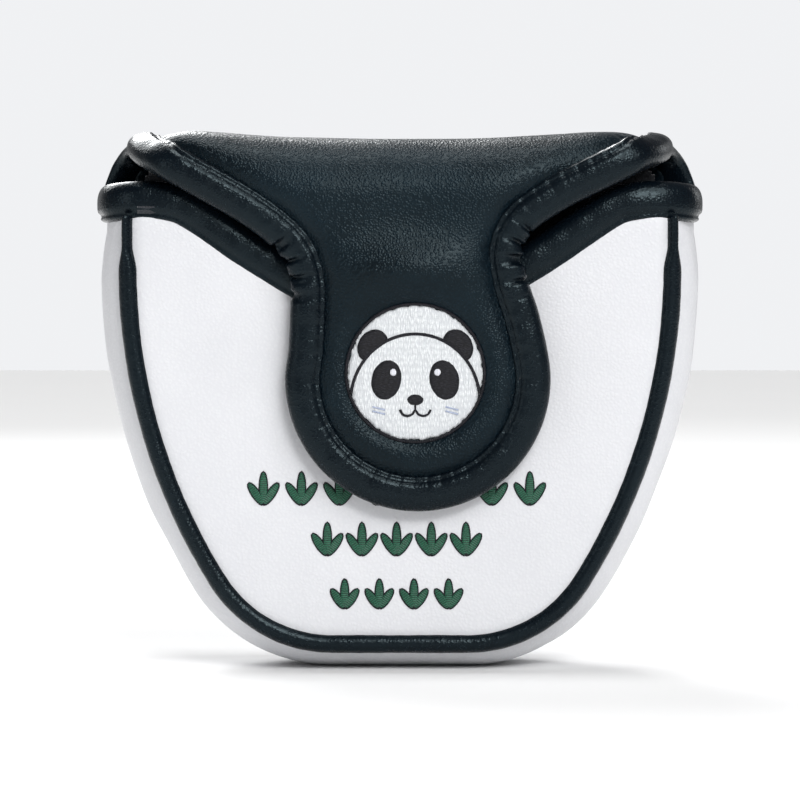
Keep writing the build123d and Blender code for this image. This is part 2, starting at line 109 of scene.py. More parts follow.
# ---- Piping: its top ends are pinched flat by the seam ----
PINCH_END = 13.0  # length of the flat end, with the part where it swells to the full cord
PINCH_FADE = 6.0

# ---- Sewing thread ----
STITCH_PITCH = 3.6
STITCH_LENGTH = 2.6

# ---- Face ----
FACE_CENTRE = (2.3, 45.0)
FACE_RADII = (54.0, 47.8)
FACE_LIFT = 0.8
SATIN_W = 3.2
EARS = ((-29.0, 76.2, 17.4), (34.0, 79.2, 16.5))
EYES = ((-21.6, 54.7, -17.0), (26.6, 56.7, 17.0))
EYE_RADII = (12.6, 16.0)
HIGHLIGHTS = ((-16.0, 60.3), (20.8, 61.5))
CHEEKS = ((-29.0, 33.8), (34.8, 36.0))

# ---- Small face on the badge, from the badge's centre ----
BADGE_HEAD_Z = -6.8
BADGE_HEAD_RADII = (15.2, 16.0)


# ======== Mesh helpers ========

def add_mesh(name, points, faces, material, run=None):
    """A smooth-shaded mesh from points in millimetres. run is each point's place on its thread."""
    mesh = bpy.data.meshes.new(name)
    mesh.from_pydata((np.asarray(points, float) * MM).tolist(), [], faces)
    mesh.shade_smooth()
    mesh.materials.append(material)
    if run is not None:
        corners = np.empty(len(mesh.loops), np.int32)
        mesh.loops.foreach_get("vertex_index", corners)
        places = np.zeros((len(corners), 2), np.float32)
        places[:, 0] = np.asarray(run)[corners]
        mesh.uv_layers.new(name="run").data.foreach_set("uv", places.ravel())
    piece = bpy.data.objects.new(name, mesh)
    bpy.context.scene.collection.objects.link(piece)
    return piece


def sheet(name, points, keep, material, thickness, flip=False):
    """A skin over the cells of a (columns, rows, 3) grid whose corners are all kept.

    The points are its outer side, and its thickness reaches inwards.
    """
    cells = keep[:-1, :-1] & keep[1:, :-1] & keep[1:, 1:] & keep[:-1, 1:]
    i, j = np.nonzero(cells)
    rows = keep.shape[1]
    a = i * rows + j
    quads = np.stack([a, a + rows, a + rows + 1, a + 1], axis=1)
    if flip:
        quads = quads[:, ::-1]
    used, flat = np.unique(quads, return_inverse=True)
    piece = add_mesh(name, points.reshape(-1, 3)[used], flat.reshape(-1, 4).tolist(), material)
    solid = piece.modifiers.new("thickness", "SOLIDIFY")
    solid.thickness = thickness * MM
    solid.offset = -1
    solid.use_even_offset = False
    return piece


def smooth_noise(x, y, scale, seed):
    """A gentle random field between about -1 and 1, with features about as wide as scale."""
    random = np.random.default_rng(seed)
    total = np.zeros_like(x)
    for _ in range(9):
        turn, phase = random.uniform(0, 2 * math.pi, 2)
        size = scale * random.uniform(0.7, 1.6)
        total += np.sin((x * math.cos(turn) + y * math.sin(turn)) * 2 * math.pi / size + phase)
    return total / 4.2


def unit(v):
    return v / np.maximum(np.linalg.norm(v, axis=-1, keepdims=True), 1e-9)


def lengths(path):
    """Distance along a path at each of its points."""
    return np.concatenate([[0], np.cumsum(np.linalg.norm(np.diff(path, axis=0), axis=1))])


def read_along(at, along, rows):
    """The rows' values at distances at, where along is each row's own distance."""
    return np.stack([np.interp(at, along, rows[:, k]) for k in range(rows.shape[1])], axis=1)


def catmull(points, count):
    """An evenly spaced smooth curve through the points, and the distance along it at each."""
    p = np.asarray(points, float)
    p = np.vstack([2 * p[0] - p[1], p, 2 * p[-1] - p[-2]])
    pieces = []
    t = np.linspace(0, 1, 24, endpoint=False)[:, None]
    for a, b, c, d in zip(p[:-3], p[1:-2], p[2:-1], p[3:]):
        pieces.append(
            0.5 * (2 * b + (c - a) * t + (2 * a - 5 * b + 4 * c - d) * t**2
                   + (3 * b - a - 3 * c + d) * t**3)
        )
    dense = np.vstack(pieces + [p[-2:-1]])
    along = lengths(dense[:, :3])
    at = np.linspace(0, along[-1], count)
    return read_along(at, along, dense), at


def ring_faces(rings, sides, first=0, closed=False):
    """Quads between neighbouring rings of points, from the point numbered first."""
    faces = []
    for i in range(rings if closed else rings - 1):
        a, b = first + i * sides, first + (i + 1) % rings * sides
        for k in range(sides):
            m = (k + 1) % sides
            faces.append((a + k, a + m, b + m, b + k))
    return faces


def sweep(name, path, normals, section, material, closed=False, sides=28):
    """A closed skin along a path. section(along, angle) gives sideways and outward distances."""
    path = np.asarray(path, float)
    n = len(path)
    along = lengths(path)
    ahead = np.gradient(path, axis=0)
    if closed:
        ahead = np.roll(path, -1, axis=0) - np.roll(path, 1, axis=0)
    ahead = unit(ahead)
    side = unit(np.cross(ahead, normals))
    up = unit(np.cross(side, ahead))
    angle = np.linspace(0, 2 * math.pi, sides, endpoint=False)
    across, out = section(along[:, None], angle[None, :])
    points = (
        path[:, None, :]
        + side[:, None, :] * across[..., None]
        + up[:, None, :] * out[..., None]
    ).reshape(-1, 3)
    faces = ring_faces(n, sides, closed=closed)
    run = np.repeat(along, sides)
    if not closed:
        first, last = len(points), len(points) + 1
        points = np.vstack([points, points[:sides].mean(0), points[-sides:].mean(0)])
        end = (n - 1) * sides
        for k in range(sides):
            m = (k + 1) % sides
            faces.append((first, m, k))
            faces.append((last, end + k, end + m))
        run = np.append(run, [along[0], along[-1]])
    return add_mesh(name, points, faces, material, run)


# ======== Shapes of the cover ========

def outline(s):
    """Point and outward direction at a distance s from the foot's middle, both sides."""
    side, s = np.sign(s), np.abs(np.asarray(s, float))
    corner_end = FOOT_HALF + CORNER_R * CORNER_TURN
    side_end = corner_end + SIDE_R * (math.pi / 2 - CORNER_TURN)
    turn = np.clip((s - FOOT_HALF) / CORNER_R, 0, CORNER_TURN)
    turn = turn + np.clip((s - corner_end) / SIDE_R, 0, math.pi / 2 - CORNER_TURN)
    low = np.minimum(turn, CORNER_TURN)
    high = np.maximum(turn, CORNER_TURN)
    x = np.minimum(s, FOOT_HALF) + CORNER_R * np.sin(low)
    x = x + SIDE_R * (np.sin(high) - math.sin(CORNER_TURN))
    z = FOOT_Z + CORNER_R * (1 - np.cos(low))
    z = z + SIDE_R * (math.cos(CORNER_TURN) - np.cos(high)) + np.maximum(s - side_end, 0)
    return np.stack([side * x, z], axis=-1), np.stack([side * np.sin(turn), -np.cos(turn)], axis=-1)


OUTLINE_END = 126.0 + (SHOULDER_Z - 95.2)
OUTLINE_RUN = np.linspace(-OUTLINE_END - 40, OUTLINE_END + 40, 700)
OUTLINE_POINTS, OUTLINE_OUT = outline(OUTLINE_RUN)


def outline_distance(x, z):
    """How far inside the panel outline each point is."""
    flat = np.stack([np.ravel(x), np.ravel(z)], axis=1)
    best = np.full(len(flat), 1e9)
    signed = np.zeros(len(flat))
    for p, out in zip(OUTLINE_POINTS, OUTLINE_OUT):
        gap = flat - p
        size = np.hypot(gap[:, 0], gap[:, 1])
        closer = size < best
        best[closer] = size[closer]
        signed[closer] = -(gap[closer] @ out)
    return signed.reshape(np.shape(x))


def curve_distance(x, z, points, closed=False):
    """The distance from each point to a polyline."""
    p = np.asarray(points, float)
    if closed:
        p = np.vstack([p, p[:1]])
    best = np.full(np.shape(x), 1e9)
    for a, b in zip(p[:-1], p[1:]):
        d = b - a
        t = np.clip(((x - a[0]) * d[0] + (z - a[1]) * d[1]) / max(d @ d, 1e-9), 0, 1)
        best = np.minimum(best, np.hypot(x - a[0] - t * d[0], z - a[1] - t * d[1]))
    return best


def panel_grid(start, stop, cell):
    """Two arrays, (columns, rows), with the places of a grid's points."""
    across = np.arange(start[0], stop[0], cell)
    return np.meshgrid(across, np.arange(start[1], stop[1], cell), indexing="ij")


def read_grid(grid, start, cell, x, z):
    """Bilinear reading of a grid that begins at start."""
    i = np.clip((np.asarray(x, float) - start[0]) / cell, 0, grid.shape[0] - 1.001)
    j = np.clip((np.asarray(z, float) - start[1]) / cell, 0, grid.shape[1] - 1.001)
    i0, j0 = i.astype(int), j.astype(int)
    u, v = i - i0, j - j0
    low = grid[i0, j0] * (1 - u) + grid[i0 + 1, j0] * u
    high = grid[i0, j0 + 1] * (1 - u) + grid[i0 + 1, j0 + 1] * u
    return low * (1 - v) + high * v


def inside(x, z, points):
    """Whether each point is inside a closed polyline."""
    p = np.asarray(points, float)
    odd = np.zeros(np.shape(x), bool)
    for a, b in zip(p, np.roll(p, -1, axis=0)):
        crosses = (a[1] > z) != (b[1] > z)
        with np.errstate(divide="ignore", invalid="ignore"):
            at = a[0] + (z - a[1]) / (b[1] - a[1]) * (b[0] - a[0])
        odd ^= crosses & (x < at)
    return odd


def padding(pinned, depth, reach, cell, rounds=260):
    """A padded skin's height: a stretched membrane over soft foam, held down where pinned.

    It solves the membrane's balance by relaxation, so that the skin swells to depth away
    from its seams and comes down to them over about reach.
    """
    height = np.zeros(pinned.shape)
    stiff = (cell / np.asarray(reach, float)) ** 2
    for _ in range(rounds):
        wide = np.pad(height, 1, mode="edge")
        around = wide[:-2, 1:-1] + wide[2:, 1:-1] + wide[1:-1, :-2] + wide[1:-1, 2:]
        height = (around + stiff * depth) / (4 + stiff)
        height[pinned] = 0
    return height


def uneven(pad, x, z, amount, scale, seed):
    """The padding with gentle unevenness wherever it stands out."""
    return pad + amount * smooth_noise(x, z, scale, seed) * np.clip(pad, 0, 1)


def crease(distance, width, depth):
    """A dip beside a seam."""
    return depth * np.clip(1 - distance / width, 0, 1) ** 1.5


def ellipse(centre, radii, tilt=0.0, count=72):
    """Closed outline of a tilted ellipse."""
    a = np.linspace(0, 2 * math.pi, count, endpoint=False)
    u, v = radii[0] * np.cos(a), radii[1] * np.sin(a)
    t = math.radians(tilt)
    across = centre[0] + u * math.cos(t) - v * math.sin(t)
    return np.stack([across, centre[1] + u * math.sin(t) + v * math.cos(t)], axis=1)


def crown_top(x):
    return CROWN_Z + CROWN_RISE * np.minimum(np.abs(x) / CROWN_HALF, 1.15) ** 2


def hood(x, t, drop=0.0):
    """Point and outward direction of the cover's skin, t along it from the front's foot.

    It goes up the front, over the crown and down the back leg. drop moves it inwards.
    """
    top = crown_top(x)
    crown_run = (FLAP_Y - BACK_BEND) - (FRONT_Y + FRONT_BEND)
    t1 = top - FRONT_BEND
    t2 = t1 + FRONT_BEND * math.pi / 2
    t3 = t2 + crown_run
    t4 = t3 + BACK_BEND * math.pi / 2
    lean = np.clip((t - t1) / FRONT_BEND, 0, math.pi / 2)
    fall = np.clip((t - t3) / BACK_BEND, 0, math.pi / 2)
    y = FRONT_Y + FRONT_BEND * (1 - np.cos(lean)) + np.clip(t - t2, 0, crown_run)
    y = y + BACK_BEND * np.sin(fall)
    z = np.minimum(t, t1) + FRONT_BEND * np.sin(lean) - BACK_BEND * (1 - np.cos(fall))
    z = z - np.maximum(t - t4, 0)
    # The outward direction turns from -Y over +Z to +Y.
    ny = -np.cos(lean) + np.sin(fall)
    nz = np.sin(lean) + np.cos(fall) - 1
    size = np.hypot(ny, nz)
    ny, nz = ny / size, nz / size
    point = np.stack([x + 0 * y, y - drop * ny, z - drop * nz], axis=-1)
    return point, np.stack([0 * y, ny, nz], axis=-1)


def back_leg(x, z):
    """How far along the hood the back leg's point at height z is."""
    top = crown_top(x)
    t3 = top - FRONT_BEND + FRONT_BEND * math.pi / 2
    t3 = t3 + (FLAP_Y - BACK_BEND) - (FRONT_Y + FRONT_BEND)
    rise = np.clip((z - (top - BACK_BEND)) / BACK_BEND, 0, 0.999)
    return t3 + BACK_BEND * (math.pi / 2 - np.arcsin(rise)) + np.maximum(top - BACK_BEND - z, 0)


# Seen from behind: centre line of the flap's binding, from one corner round the tongue to
# the other. The two sides differ a little, because the tongue hangs to one side.
tongue_arc = [
    (TONGUE[0] + TONGUE_PATH_R * math.cos(a), TONGUE[1] + TONGUE_PATH_R * math.sin(a))
    for a in np.radians(np.linspace(14, -194, 16))
]
FLAP_LINE = (
    [(60.5, 123.2), (52, 119.4), (44, 115.0), (36, 110.4), (28.8, 105.2), (23.8, 99.6), (21.6, 92.6),
     (21.6, 84.5)]
    + tongue_arc
    + [(-28.4, 84.5), (-25.8, 92.6), (-24.9, 100.2), (-28.2, 107.2), (-36, 112.8), (-44, 117.0),
       (-52, 120.8), (-60.5, 124.4)]
)
# Seen from behind: centre line of the mouth's binding on one side, from the middle out.
MOUTH_LINE = [
    (0, 83.0), (10, 85.6), (20, 90.4), (30, 96.2), (38, 101.3), (45, 106.2), (51.5, 110.2),
    (58, 112.2), (63.5, 112.6),
]


def fit(piece, body, slot, *nodes, padded=None):
    """The piece moves with a body and stands for CAD nodes, which it hides.

    padded, how full a padded piece is stuffed, is not used.
    """
    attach(piece, body)
    if nodes:
        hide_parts(*nodes)


def fit_fold(piece, slot, *nodes, padded=None, start=(-22.5, 112.0), end=(-6.5, 116.0)):
    """For a piece that lies over the fold: hides the CAD nodes it stands for and bakes its placement
    into its mesh. start and end, the fold's ends as (Y, Z), are not used.
    """
    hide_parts(*nodes)
    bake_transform(piece)


# ======== Materials ========

def add_node(tree, kind, inputs=(), **settings):
    """A new node whose inputs are joined to sockets or set to values."""
    node = tree.nodes.new(kind)
    for key, value in settings.items():
        setattr(node, key, value)
    for key, value in dict(inputs).items():
        if isinstance(value, bpy.types.NodeSocket):
            tree.links.new(value, node.inputs[key])
        else:
            node.inputs[key].default_value = value
    return node


class Nodes:
    """A material's node tree, with a short way to add and join nodes."""

    def __init__(self, name, colour, roughness):
        self.material = bpy.data.materials.new(name)
        self.material.use_nodes = True
        self.tree = self.material.node_tree
        self.shader = self.tree.nodes["Principled BSDF"]
        self.shader.inputs["Base Color"].default_value = (*colour, 1)
        self.shader.inputs["Roughness"].default_value = roughness

    def add(self, kind, inputs=(), **settings):
        return add_node(self.tree, kind, inputs, **settings)

    def place(self, scale=(1, 1, 1), turn=(0, 0, 0)):
        """Object coordinates in millimetres, turned and then scaled."""
        where = self.add("ShaderNodeTexCoord").outputs["Object"]
        size = tuple(MM / s for s in scale)
        inputs = {"Vector": where, "Scale": size, "Rotation": turn}
        return self.add("ShaderNodeMapping", inputs, vector_type="TEXTURE").outputs["Vector"]

    def noise(self, vector, scale, detail=3.0):
        inputs = {"Vector": vector, "Scale": scale, "Detail": detail, "Roughness": 0.6}
        return self.add("ShaderNodeTexNoise", inputs).outputs["Fac"]

    def spread(self, value, low, high, to_low, to_high):
        inputs = {0: value, 1: low, 2: high, 3: to_low, 4: to_high}
        return self.add("ShaderNodeMapRange", inputs).outputs[0]

    def math(self, operation, a, b):
        return self.add("ShaderNodeMath", {0: a, 1: b}, operation=operation).outputs[0]

    def ramp(self, value, low, high):
        """A colour that goes from low to high with value."""
        inputs = {0: value, 6: (*low, 1), 7: (*high, 1)}
        return self.add("ShaderNodeMix", inputs, data_type="RGBA").outputs[2]

    def colour(self, socket):
        self.tree.links.new(socket, self.shader.inputs["Base Color"])

    def roughness(self, socket):
        self.tree.links.new(socket, self.shader.inputs["Roughness"])

    def bump(self, height, depth, strength=1.0):
        """Adds a relief of depth millimetres."""
        inputs = {"Height": height, "Distance": depth * MM, "Strength": strength}
        node = self.add("ShaderNodeBump", inputs)
        before = self.shader.inputs["Normal"].links
        if before:
            self.tree.links.new(before[0].from_socket, node.inputs["Normal"])
        self.tree.links.new(node.outputs["Normal"], self.shader.inputs["Normal"])

    def sheen(self, weight, roughness=0.4):
        self.shader.inputs["Sheen Weight"].default_value = weight
        self.shader.inputs["Sheen Roughness"].default_value = roughness


def leather(name, dark, light, rough, pebble, depth, shine=0.5, gloss=(1, 1, 1), grooves=0.0):
    """Grained synthetic leather: pebbles about pebble millimetres wide, with fine creases.

    grooves above 0 gives flat pebbles with narrow grooves that wide between them.
    """
    m = Nodes(name, light, rough[0])
    m.shader.inputs["Specular IOR Level"].default_value = shine
    m.shader.inputs["Specular Tint"].default_value = (*gloss, 1)
    where = m.place()
    warped = m.add("ShaderNodeTexNoise", {"Vector": where, "Scale": 0.35 / pebble, "Detail": 2.0})
    shift = m.add("ShaderNodeVectorMath", {0: warped.outputs["Color"], 1: (0.5, 0.5, 0.5)},
                  operation="SUBTRACT").outputs[0]
    push = m.add("ShaderNodeVectorMath", {0: shift, "Scale": pebble * 1.3}, operation="SCALE")
    spot = m.add("ShaderNodeVectorMath", {0: where, 1: push.outputs[0]}, operation="ADD").outputs[0]
    if grooves:
        inputs = {"Vector": spot, "Scale": 1 / pebble, "Randomness": 0.9}
        cells = m.add("ShaderNodeTexVoronoi", inputs, feature="DISTANCE_TO_EDGE").outputs["Distance"]
        domes = m.spread(cells, 0.0, grooves, 0.0, 1.0)
    else:
        inputs = {"Vector": spot, "Scale": 1 / pebble, "Randomness": 0.85, "Smoothness": 0.3}
        cells = m.add("ShaderNodeTexVoronoi", inputs, feature="SMOOTH_F1").outputs["Distance"]
        domes = m.spread(cells, 0.12, 0.62, 1.0, 0.0)
    fine = m.noise(where, 5.0 / pebble, 4.0)
    broad = m.noise(where, 0.03, 3.0)
    m.bump(domes, depth, 0.9)
    m.bump(fine, depth * 0.3, 0.5)
    # The colour mixes a random broad tone with the grain: pebble tops are painted lighter as painted
    # highlight, and the grooves between them darker as painted shade.
    tone_and_grain_shade = m.math("ADD", m.spread(broad, 0.3, 0.7, 0.0, 0.55), m.math("MULTIPLY", domes, 0.45))
    m.colour(m.ramp(tone_and_grain_shade, dark, light))
    wear = m.math("ADD", m.math("MULTIPLY", domes, -0.05), m.spread(broad, 0.3, 0.7, *rough))
    m.roughness(wear)
    return m.material


def thread(name, dark, light, pitch=0.42, depth=0.12, shine=0.5, fluff=0.25):
    """Satin stitches that lie across a run. The run's length in millimetres is the UV's U."""
    m = Nodes(name, light, 0.5)
    m.shader.inputs["Specular IOR Level"].default_value = shine
    m.sheen(fluff)
    run = m.add("ShaderNodeUVMap", uv_map="run").outputs["UV"]
    uneven = m.noise(m.place(), 0.9, 2.0)
    bent = m.add("ShaderNodeSeparateXYZ", {0: run})
    along = m.math("ADD", bent.outputs[0], m.math("MULTIPLY", uneven, pitch * 0.8))
    wave = m.math("SINE", m.math("MULTIPLY", along, 2 * math.pi / pitch), 0.0)
    strands = m.spread(wave, -1.0, 1.0, 0.0, 1.0)
    m.bump(strands, depth)
    # The colour is lighter on each strand and darker between them: painted shade between the threads,
    # with a random tone on top.
    m.colour(m.ramp(m.math("MULTIPLY", strands, m.spread(uneven, 0.3, 0.7, 0.6, 1.0)), dark, light))
    return m.material


def fill(name, dark, light, pitch, turn=0.0, glint_speckle=0.0, depth=0.16, shine=0.4, fuzz=0.2):
    """Fill embroidery: short parallel stitches, offset in rows, with a little fluff."""
    m = Nodes(name, light, 0.6)
    m.shader.inputs["Specular IOR Level"].default_value = shine
    m.sheen(fuzz)
    where = m.place((1 / pitch, 1, 0.28 / pitch), (0, math.radians(turn), 0))
    stitches = m.add("ShaderNodeTexVoronoi", {"Vector": where, "Scale": 1.0, "Randomness": 0.65},
                     feature="F1").outputs["Distance"]
    strands = m.spread(stitches, 0.0, 0.75, 1.0, 0.0)
    fluff = m.noise(m.place(), 3.2, 4.0)
    m.bump(strands, depth)
    m.bump(fluff, depth * 0.7)
    # The colour is lighter on the stitches and darker between them: painted shade between the stitches.
    # The speckle setting lets more of it reach the light colour, which paints light specks as glints on
    # the thread.
    m.colour(m.ramp(m.spread(m.math("MULTIPLY", strands, fluff), 0.12, 0.5 - 0.1 * glint_speckle, 0.0, 1.0),
                    dark, light))
    return m.material


def plush(name, dark, light):
    """Short velour pile."""
    m = Nodes(name, light, 0.85)
    m.sheen(0.6, 0.35)
    where = m.place()
    pile = m.noise(where, 2.2, 5.0)
    brushed = m.noise(where, 0.09, 2.0)
    m.bump(pile, 0.35)
    m.colour(m.ramp(m.spread(m.math("MULTIPLY", pile, brushed), 0.12, 0.4, 0.0, 1.0), dark, light))
    return m.material


def steel(name):
    """Nickel plating with fine scratches."""
    m = Nodes(name, (0.62, 0.61, 0.58), 0.25)
    m.shader.inputs["Metallic"].default_value = 1.0
    scratch = m.noise(m.place((0.4, 4, 4)), 3.0, 3.0)
    m.roughness(m.spread(scratch, 0.3, 0.7, 0.18, 0.4))
    m.bump(scratch, 0.01)
    return m.material


COOL = (0.72, 0.93, 1.0)  # tint of the black leather's gloss
BLACK = leather(
    "black_leather", (0.0004, 0.0015, 0.003), (0.0025, 0.009, 0.015), (0.32, 0.40), 0.58, 0.095,
    0.20, COOL,
)
BLACK_ROLL = leather(
    "black_leather_roll", (0.001, 0.002, 0.004), (0.002, 0.005, 0.008), (0.27, 0.34), 0.7, 0.05,
    0.22, COOL,
)
WHITE = leather("white_leather", (0.60, 0.605, 0.63), (0.665, 0.67, 0.69), (0.38, 0.48), 0.8, 0.05)
PEBBLED = leather(
    "pebbled_white_leather", (0.47, 0.485, 0.53), (0.61, 0.62, 0.65), (0.36, 0.46), 1.25, 0.16,
    0.4, grooves=0.3,
)
PLUSH = plush("plush_lining", (0.012, 0.014, 0.018), (0.05, 0.055, 0.065))
BLACK_THREAD = thread(
    "black_thread", (0.002, 0.002, 0.004), (0.010, 0.010, 0.016), 0.42, 0.12, 0.3, 0.04
)
WHITE_THREAD = thread("white_thread", (0.66, 0.67, 0.75), (0.90, 0.91, 0.94), 0.36)
PALE_SATIN = thread("pale_satin_thread", (0.44, 0.47, 0.60), (0.69, 0.72, 0.81), 0.5)
GREEN_THREAD = thread("green_thread", (0.002, 0.05, 0.028), (0.005, 0.15, 0.085), 0.55, 0.10)
SEAM_THREAD = thread(
    "seam_thread", (0.003, 0.004, 0.006), (0.014, 0.017, 0.022), 0.45, 0.08, 0.25, 0.03
)
SPRIG_THREAD = thread("sprig_thread", (0.002, 0.035, 0.018), (0.008, 0.13, 0.065), 0.5, 0.14)
# The eyes' black fill: its light bluish specks are painted glints on the thread.
BLACK_FILL = fill(
    "black_fill", (0.001, 0.001, 0.003), (0.022, 0.023, 0.034), 0.3, 10, 1.0, 0.3, 0.16, 0.02
)
SMALL_BLACK = fill(
    "small_black_fill", (0.002, 0.002, 0.004), (0.014, 0.014, 0.02), 0.3, 80, 0, 0.16, 0.3, 0.04
)
WHITE_FILL = fill("white_fill", (0.55, 0.57, 0.59), (0.82, 0.84, 0.85), 0.4, 0)
BLUE_FILL = fill("pale_blue_fill", (0.33, 0.38, 0.51), (0.48, 0.53, 0.66), 0.32, 84)
STEEL = steel("magnet_plating")


# ======== The leather skin ========
# One skin goes up the front, over the crown and down the back into the tongue.

skin_end = float(back_leg(np.float64(TONGUE[0]), np.float64(TONGUE[1] - TONGUE_PATH_R - 1)))
SKIN_X, SKIN_T = panel_grid(SKIN_START, (68.01, skin_end), CELL)
skin_base, skin_out = hood(SKIN_X, SKIN_T)
skin_y, skin_z = skin_base[..., 1], skin_base[..., 2]

face_outline = ellipse(FACE_CENTRE, FACE_RADII, count=160)
edge_inside = outline_distance(SKIN_X, np.minimum(skin_z, 118.0))
on_back = skin_y > 2.0
corner_x = np.interp(skin_z, (109, 113, 118, 121.5, 124), (64.6, 65.6, 64.2, 62.0, 60.2))
flap_polygon = FLAP_LINE + [(-60.5, 140), (60.5, 140)]
keep_front = ~on_back & (np.abs(SKIN_X) < corner_x) & (edge_inside > -0.4)
back_corner_x = np.interp(skin_y, (2, 7.5, 14.0, 18.6, 22), (60.5, 59.8, 57.6, 54.8, 61))
keep_back = on_back & inside(SKIN_X, skin_z, flap_polygon) & (np.abs(SKIN_X) < back_corner_x)
keep_skin = keep_front | keep_back

# Seams hold the skin down: along the piping and the binding, and where thread runs through.
from_binding = curve_distance(SKIN_X, skin_z, FLAP_LINE)
held = ~keep_skin | (on_back & (from_binding < BINDING_A + 0.2))
by_piping = (edge_inside < 2.6) & (skin_z < 112)
by_corner = (np.abs(SKIN_X) > corner_x - 3.2) & (skin_z >= 112)
held |= ~on_back & (by_piping | by_corner)
badge_gap = np.hypot(SKIN_X - BADGE[0], skin_z - BADGE[1])
held |= on_back & (badge_gap < BADGE_R + 0.5)
round_face = ellipse(FACE_CENTRE, (FACE_RADII[0] + 0.6, FACE_RADII[1] + 0.6))
held |= ~on_back & inside(SKIN_X, skin_z, round_face)


def leaf_line(base, tip, width, count=14):
    """Closed pointed outline of a leaf."""
    base, tip = np.array(base, float), np.array(tip, float)
    t = np.linspace(0, 1, count)[:, None]
    side = np.array([-(tip - base)[1], (tip - base)[0]]) / np.linalg.norm(tip - base)
    swell = np.sin(math.pi * t**0.85) * width / 2
    there = base + (tip - base) * t
    return np.vstack([there + side * swell, (there - side * swell)[::-1][1:-1]])


STALK = [
    [(-14.8, 109.2), (-9.5, 107.6), (-3.8, 106.2), (-3.5, 102.6), (-9.6, 104.0), (-16.0, 103.9)],
    [(-3.8, 106.2), (-1.0, 104.6), (5.9, 102.0), (5.9, 98.1), (1.0, 100.3), (-3.5, 102.6)],
    [(5.9, 102.0), (11.0, 101.0), (17.0, 100.4), (15.8, 94.3), (10.5, 96.8), (5.9, 98.1)],
]
LEAVES = [
    leaf_line((-3.9, 106.4), (-6.2, 112.4), 3.4),
    leaf_line((-3.4, 106.5), (0.1, 113.2), 3.8),
    leaf_line((-3.0, 105.6), (4.5, 106.2), 3.0),
    leaf_line((-9.3, 103.8), (-11.9, 93.9), 4.2),
    leaf_line((-8.8, 103.8), (-6.8, 96.8), 3.6),
]
from_bamboo = np.min([curve_distance(SKIN_X, skin_z, line, True) for line in STALK + LEAVES], axis=0)
held |= ~on_back & (from_bamboo < 0.55)
in_ear = np.zeros(SKIN_X.shape, bool)
for x, z, radius in EARS:
    from_ear = np.hypot(SKIN_X - x, skin_z - z)
    held |= ~on_back & (np.abs(from_ear - radius) < 0.6)
    in_ear |= ~on_back & (from_ear < radius)

# The skin comes down to its seams over these distances.
skin_reach = np.where(in_ear, 3.0, 4.6)
skin_reach = np.where(on_back & (from_binding < 9), 2.8, skin_reach)
skin_reach = np.where(on_back & (badge_gap < SEAM_R + 1), 3.0, skin_reach)
skin_reach = np.where(~on_back & (from_bamboo < 5), 1.6, skin_reach)
skin_pad = uneven(padding(held, 2.6, skin_reach, CELL), SKIN_X, SKIN_T, 0.16, 26, 3)
skin_pad -= ~on_back * (skin_z < 113) * crease(edge_inside, 3.4, 1.5)
skin_pad -= on_back * crease(from_binding, BINDING_A + 1.0, 2.6)

# Where the tongue leaves the crown, the leather drapes into a shallow saddle. Below that it
# swells over the mouth's binding before it dips to the badge.
saddle = np.exp(-((SKIN_X + 3) / 16) ** 2 - ((skin_z - 108) / 8) ** 2) * on_back
swell = np.exp(-((SKIN_X + 2) / 14) ** 2 - ((skin_z - 95.5) / 6.5) ** 2) * on_back
skin_pad += SWELL * swell - SADDLE * saddle


def on_front(x, z, lift=0.0):
    """Point of the front skin, lift above it."""
    pad = read_grid(skin_pad, SKIN_START, CELL, x, z)
    return hood(np.asarray(x, float), np.asarray(z, float), -(pad + lift))[0]


def on_tongue(x, z, lift=0.0):
    """Point of the tongue's skin, lift above it."""
    t = back_leg(np.asarray(x, float), np.asarray(z, float))
    return hood(np.asarray(x, float), t, -(read_grid(skin_pad, SKIN_START, CELL, x, t) + lift))[0]


skin_points = skin_base + skin_out * skin_pad[..., None]
skin = sheet("leather_skin", skin_points, keep_skin, BLACK, LEATHER_T)
fit_fold(skin, "black_leather", "front_panel", "flap_shell", padded=0.6)

# ---- Plush lining and foam behind the skin ----
lining_drop = np.interp(skin_y, (-12, 8), (6.2, 4.9))
lining_base, lining_out = hood(SKIN_X, SKIN_T, lining_drop)
pile = 0.25 * smooth_noise(SKIN_X, SKIN_T, 9, 5) + 0.5 * smooth_noise(SKIN_X, SKIN_T, 31, 6)
lining_points = lining_base + lining_out * pile[..., None]
lining_side = np.minimum(corner_x - 1.5, np.interp(skin_y, (-18, 2, 14), (64.5, 59.0, 57.0)))
keep_lining = (~on_back & (edge_inside > 2.2)) | (keep_back & (from_binding > 1.5))
keep_lining &= np.abs(SKIN_X) < lining_side
lining = sheet("front_lining_pad", lining_points, keep_lining, PLUSH, 1.2, flip=True)
fit_fold(
    lining, "plush_lining", "front_lining", "flap_lining", "front_foam", "flap_foam", padded=0.5,
    start=(-16.0, 112.0), end=(-8.5, 114.0),
)


# ======== Pouch: back panel, linings, gusset, piping ========

BACK_X, BACK_Z = panel_grid(BACK_START, BACK_STOP, CELL)
mouth_x = np.array([p[0] for p in MOUTH_LINE])
mouth_z = np.array([p[1] for p in MOUTH_LINE])
mouth_level = np.interp(np.abs(BACK_X), mouth_x, mouth_z)
back_inside = outline_distance(BACK_X, BACK_Z)
keep_back_panel = (back_inside > -0.4) & (BACK_Z < mouth_level + 1)
from_mouth = (mouth_level - BACK_Z) * 0.86
back_held = ~keep_back_panel | (back_inside < 2.6) | (from_mouth < BINDING_A)
back_pad = uneven(padding(back_held, 0.9, 6.0, CELL), BACK_X, BACK_Z, 0.14, 34, 11)
back_pad -= crease(back_inside, 3.4, 1.4) + crease(from_mouth, BINDING_A + 1.6, 1.0)


